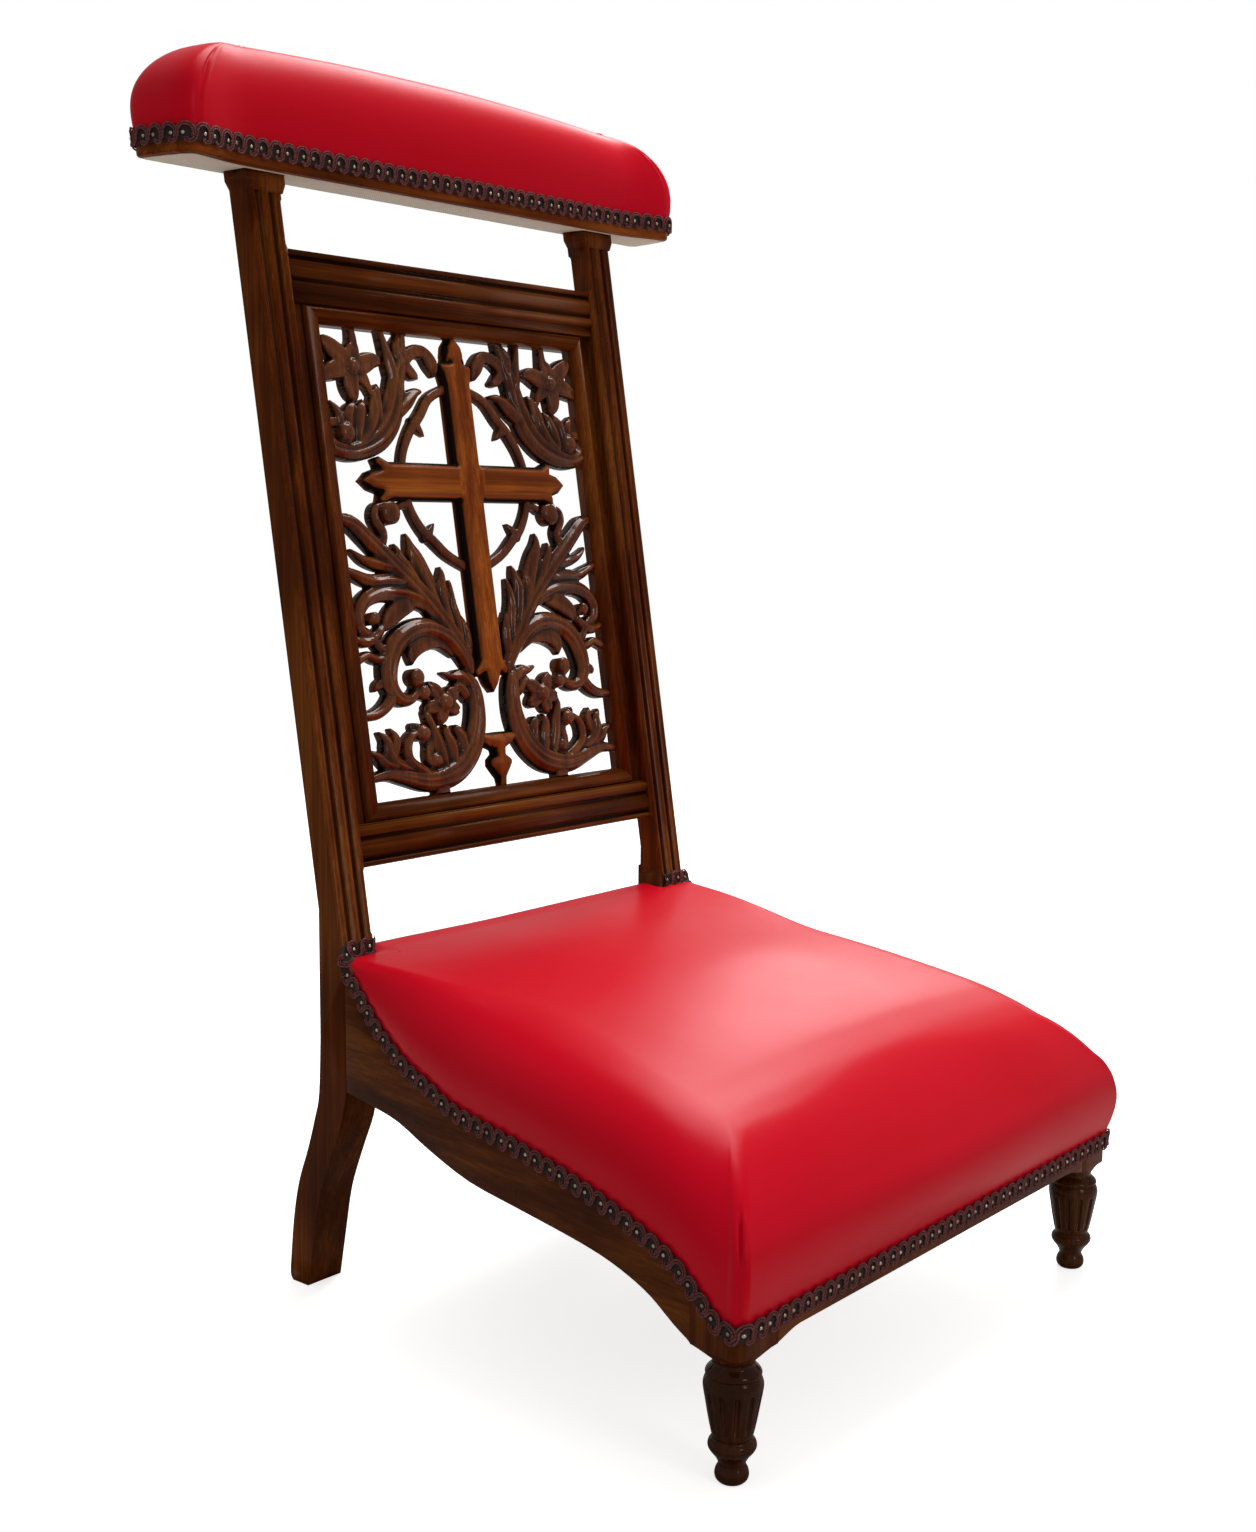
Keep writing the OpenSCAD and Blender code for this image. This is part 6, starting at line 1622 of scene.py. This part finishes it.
def make_world(strength):
    world = bpy.data.worlds.new("studio")
    world.use_nodes = True
    tree = world.node_tree
    back = tree.nodes["Background"]
    back.inputs["Color"].default_value = (1.0, 0.97, 0.94, 1)
    path = put(tree, "ShaderNodeLightPath")
    seen = sums(tree, "MAXIMUM", path.outputs["Is Camera Ray"], path.outputs["Is Transmission Ray"])
    white = put(tree, "ShaderNodeBackground", {"Color": (1, 1, 1, 1), "Strength": 1.0})
    back.inputs["Strength"].default_value = strength
    either = put(tree, "ShaderNodeMixShader", {0: seen, 1: back.outputs[0], 2: white.outputs[0]})
    tree.links.new(either.outputs[0], tree.nodes["World Output"].inputs["Surface"])
    bpy.context.scene.world = world


def floor_material():
    """Pale floor that is white to the camera but keeps the chair's shadow."""
    material, tree, surface = new_material("pale_floor", Base_Color=(0.86, 0.86, 0.86, 1), Roughness=0.9,
                                           Specular_IOR_Level=0.1)
    path = put(tree, "ShaderNodeLightPath").outputs["Is Camera Ray"]
    glow = put(tree, "ShaderNodeEmission", {"Color": (1, 1, 1, 1), "Strength": 0.72})
    both = put(tree, "ShaderNodeAddShader", {0: surface.outputs[0], 1: glow.outputs[0]})
    dim = put(tree, "ShaderNodeBsdfDiffuse", {"Color": (0.5, 0.48, 0.46, 1)})
    either = put(tree, "ShaderNodeMixShader", {0: path, 1: dim.outputs[0], 2: both.outputs[0]})
    tree.links.new(either.outputs[0], tree.nodes["Material Output"].inputs["Surface"])
    return material


# Settings

def colour_prop(name, description, default):
    return bpy.props.FloatVectorProperty(
        name=name, description=description, default=default, size=3, subtype="COLOR", min=0, max=1)


def plain_prop(name, description, default, high=1000.0):
    return bpy.props.FloatProperty(name=name, description=description, default=default, min=0, max=high)


def size_prop(name, description, default):
    return bpy.props.FloatProperty(
        name=name, description=description, default=default, unit="LENGTH", subtype="DISTANCE", min=0)


class PrieWood(bpy.types.PropertyGroup):
    """Colours of the polished mahogany"""
    dark: colour_prop("Dark", "Streaks, pores and the dark side of the figure", (0.03, 0.007, 0.002))
    middle: colour_prop("Middle", "Most of the wood", (0.165, 0.034, 0.004))
    light: colour_prop("Light", "Bright bands of the figure", (0.27, 0.085, 0.012))
    wear_and_shade: colour_prop("Worn", "Ridges of the carving where the polish is rubbed", (0.22, 0.07, 0.03))


class PrieLeather(bpy.types.PropertyGroup):
    """Look of the leather"""
    bright: colour_prop("Bright", "Hide where it is evenly dyed", (0.72, 0.002, 0.02))
    deep: colour_prop("Deep", "Darker clouds in the dye", (0.64, 0.0, 0.01))
    shine: plain_prop("Shine", "How much light the surface of the hide throws back", 0.16, 1.0)
    rough: plain_prop("Roughness", "How dull the hide is", 0.32, 1.0)
    seat_lumps: size_prop("Seat unevenness", "Unevenness of the stuffing in the seat", 0.0007)
    arm_lumps: size_prop("Armrest unevenness", "Unevenness of the stuffing in the armrest", 0.0006)


class PrieCarving(bpy.types.PropertyGroup):
    """Sizes of the carved panel, from its flat back"""
    cell: size_prop("Cell", "Width of one cell of the carved surface", 0.0009)
    rim: size_prop("Edge height", "Height of the carving at its pierced edges", 0.005)
    crest: size_prop("Crest height", "Height of the rounded middles of broad leaves", 0.0135)
    groove: size_prop("Groove depth", "Depth of the gouge cuts", 0.0036)
    cross_edge: size_prop("Cross edge", "Height of the cross at its edges", 0.0078)
    cross_face: size_prop("Cross face", "Height of the flat face of the cross", 0.0138)
    cross_bevel: size_prop("Cross bevel", "Width of the bevel round the cross", 0.0048)


class PrieGimp(bpy.types.PropertyGroup):
    """Sizes and colours of the gimp and its nails"""
    pitch: size_prop("Pitch", "Distance from one scroll of the gimp to the next", 0.0134)
    ground: size_prop("Ground width", "Width of the dark ground under the scrolls", 0.0118)
    nail: size_prop("Nail radius", "Radius of a nail head", 0.0017)
    pair: size_prop("Pair shift", "How much nearer the two nails of a pair stand", 0.0034)
    cord: colour_prop("Cord", "Maroon of the cords", (0.2, 0.028, 0.028))
    rubbed: colour_prop("Rubbed cord", "Where the cords are rubbed pale", (0.4, 0.11, 0.1))
    shade: colour_prop("Ground", "Dark brown between the cords", (0.035, 0.014, 0.011))


class PrieStage(bpy.types.PropertyGroup):
    """Light on the chair"""
    ambient: plain_prop("Ambient", "Strength of the light from all round", 0.4)
    overhead: plain_prop("Overhead", "Power of the large light overhead, in watts", 40.0)
    window: plain_prop("Window", "Power of the light behind the chair, in watts", 34.0)
    front: plain_prop("Front", "Power of the light in front, in watts", 6.5)


# Operators

class PRIE_OT_stage(bpy.types.Operator):
    """Set up the camera, the soft lights and the pale floor"""
    bl_idname = "prie.stage"
    bl_label = "Camera, lights and floor"

    def execute(self, context):
        look = context.scene.prie_stage
        make_camera()
        make_world(look.ambient)
        for name, (at, aim, size) in LAMPS.items():
            soft_light(name, at, aim, size, getattr(look, name))
        mesh = bpy.data.meshes.new("floor")
        mesh.from_pydata([(-9, -9, 0), (9, -9, 0), (9, 9, 0), (-9, 9, 0)], [], [(0, 1, 2, 3)])
        mesh.materials.append(floor_material())
        show(bpy.data.objects.new("floor", mesh))
        context.scene.view_settings.view_transform = "Standard"
        return {"FINISHED"}


class PRIE_OT_wood(bpy.types.Operator):
    """Polish the wooden pieces of the frame"""
    bl_idname = "prie.wood"
    bl_label = "Wood"

    def execute(self, context):
        for grain, names in WOOD_GRAIN.items():
            for name in names:
                paint_node(name, FINISHES[grain])
                polished(name, FINISHES[grain], EASED.get(name))
        paint_node("armrest_lining", FINISHES["lining"])
        paint_node("seat_webbing", FINISHES["jute"])
        paint_node("seat_hessian", FINISHES["hessian"])
        return {"FINISHED"}


class PRIE_OT_carving(bpy.types.Operator):
    """Carve the pierced panel: scrollwork on both sides of the cross, the ring and the pendant"""
    bl_idname = "prie.carving"
    bl_label = "Carved panel"

    def execute(self, context):
        look = context.scene.prie_carving
        for obj in carved_scrolls(look, Cuts(look)) + carved_cross(look, Cuts(look)):
            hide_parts("carved_panel")
        return {"FINISHED"}


class PRIE_OT_cushions(bpy.types.Operator):
    """Upholster the seat and the armrest"""
    bl_idname = "prie.cushions"
    bl_label = "Leather of seat and armrest"

    def execute(self, context):
        look = context.scene.prie_leather
        cushion("seat_leather", seat_points(), 4, look.seat_lumps / MM, ["seat_cover", "seat_stuffing"])
        cushion("armrest_leather", arm_points(), 9, look.arm_lumps / MM,
                ["armrest_cover", "armrest_stuffing"])
        webbing_piece()
        hessian_piece()
        lining_piece()
        return {"FINISHED"}


class PRIE_OT_gimp(bpy.types.Operator):
    """Lay the gimp round the seat and the armrest and nail it in pairs"""
    bl_idname = "prie.gimp"
    bl_label = "Gimp and nails"

    def execute(self, context):
        look = context.scene.prie_gimp
        FINISHES["repeat"] = repeat_tree()
        scroll = scroll_unit()
        nail = nail_unit(look.nail)
        for where, path in (("seat", seat_gimp_path()), ("armrest", arm_gimp_path())):
            strip = ground_strip(f"{where}_gimp_ground", path, look.ground / MM)
            braid = repeat_along(f"{where}_gimp_scrolls", path, scroll, FINISHES["cord"],
                                 look.pitch, 0.0006, 0.0)
            repeat_along(f"{where}_gimp_nails", path, nail, FINISHES["nail"], look.pitch, 0.0014,
                         look.pair)
            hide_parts(f"{where}_gimp")
            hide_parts(f"{where}_gimp")
        return {"FINISHED"}


class PRIE_PT_panel(bpy.types.Panel):
    """Lists the settings and the steps"""
    bl_idname = "PRIE_PT_panel"
    bl_label = "Prie-dieu"
    bl_space_type = "VIEW_3D"
    bl_region_type = "UI"
    bl_category = "Prie-dieu"

    def draw(self, context):
        for step in STEPS:
            self.layout.operator(step.bl_idname)
        for name in SETTINGS:
            group = getattr(context.scene, name)
            box = self.layout.box()
            for key in group.__annotations__:
                box.prop(group, key)


SETTINGS = {"prie_wood": PrieWood, "prie_leather": PrieLeather, "prie_carving": PrieCarving,
            "prie_gimp": PrieGimp, "prie_stage": PrieStage}
STEPS = (PRIE_OT_stage, PRIE_OT_wood, PRIE_OT_carving, PRIE_OT_cushions, PRIE_OT_gimp)


def register():
    for name, group in SETTINGS.items():
        bpy.utils.register_class(group)
        setattr(bpy.types.Scene, name, bpy.props.PointerProperty(type=group))
    for step in STEPS:
        bpy.utils.register_class(step)
    bpy.utils.register_class(PRIE_PT_panel)


def unregister():
    bpy.utils.unregister_class(PRIE_PT_panel)
    for step in reversed(STEPS):
        bpy.utils.unregister_class(step)
    for name, group in SETTINGS.items():
        delattr(bpy.types.Scene, name)
        bpy.utils.unregister_class(group)


def main():
    register()
    make_finishes()
    bpy.ops.prie.stage()
    bpy.ops.prie.wood()
    bpy.ops.prie.carving()
    bpy.ops.prie.cushions()
    bpy.ops.prie.gimp()


if __name__ == "__main__":
    main()
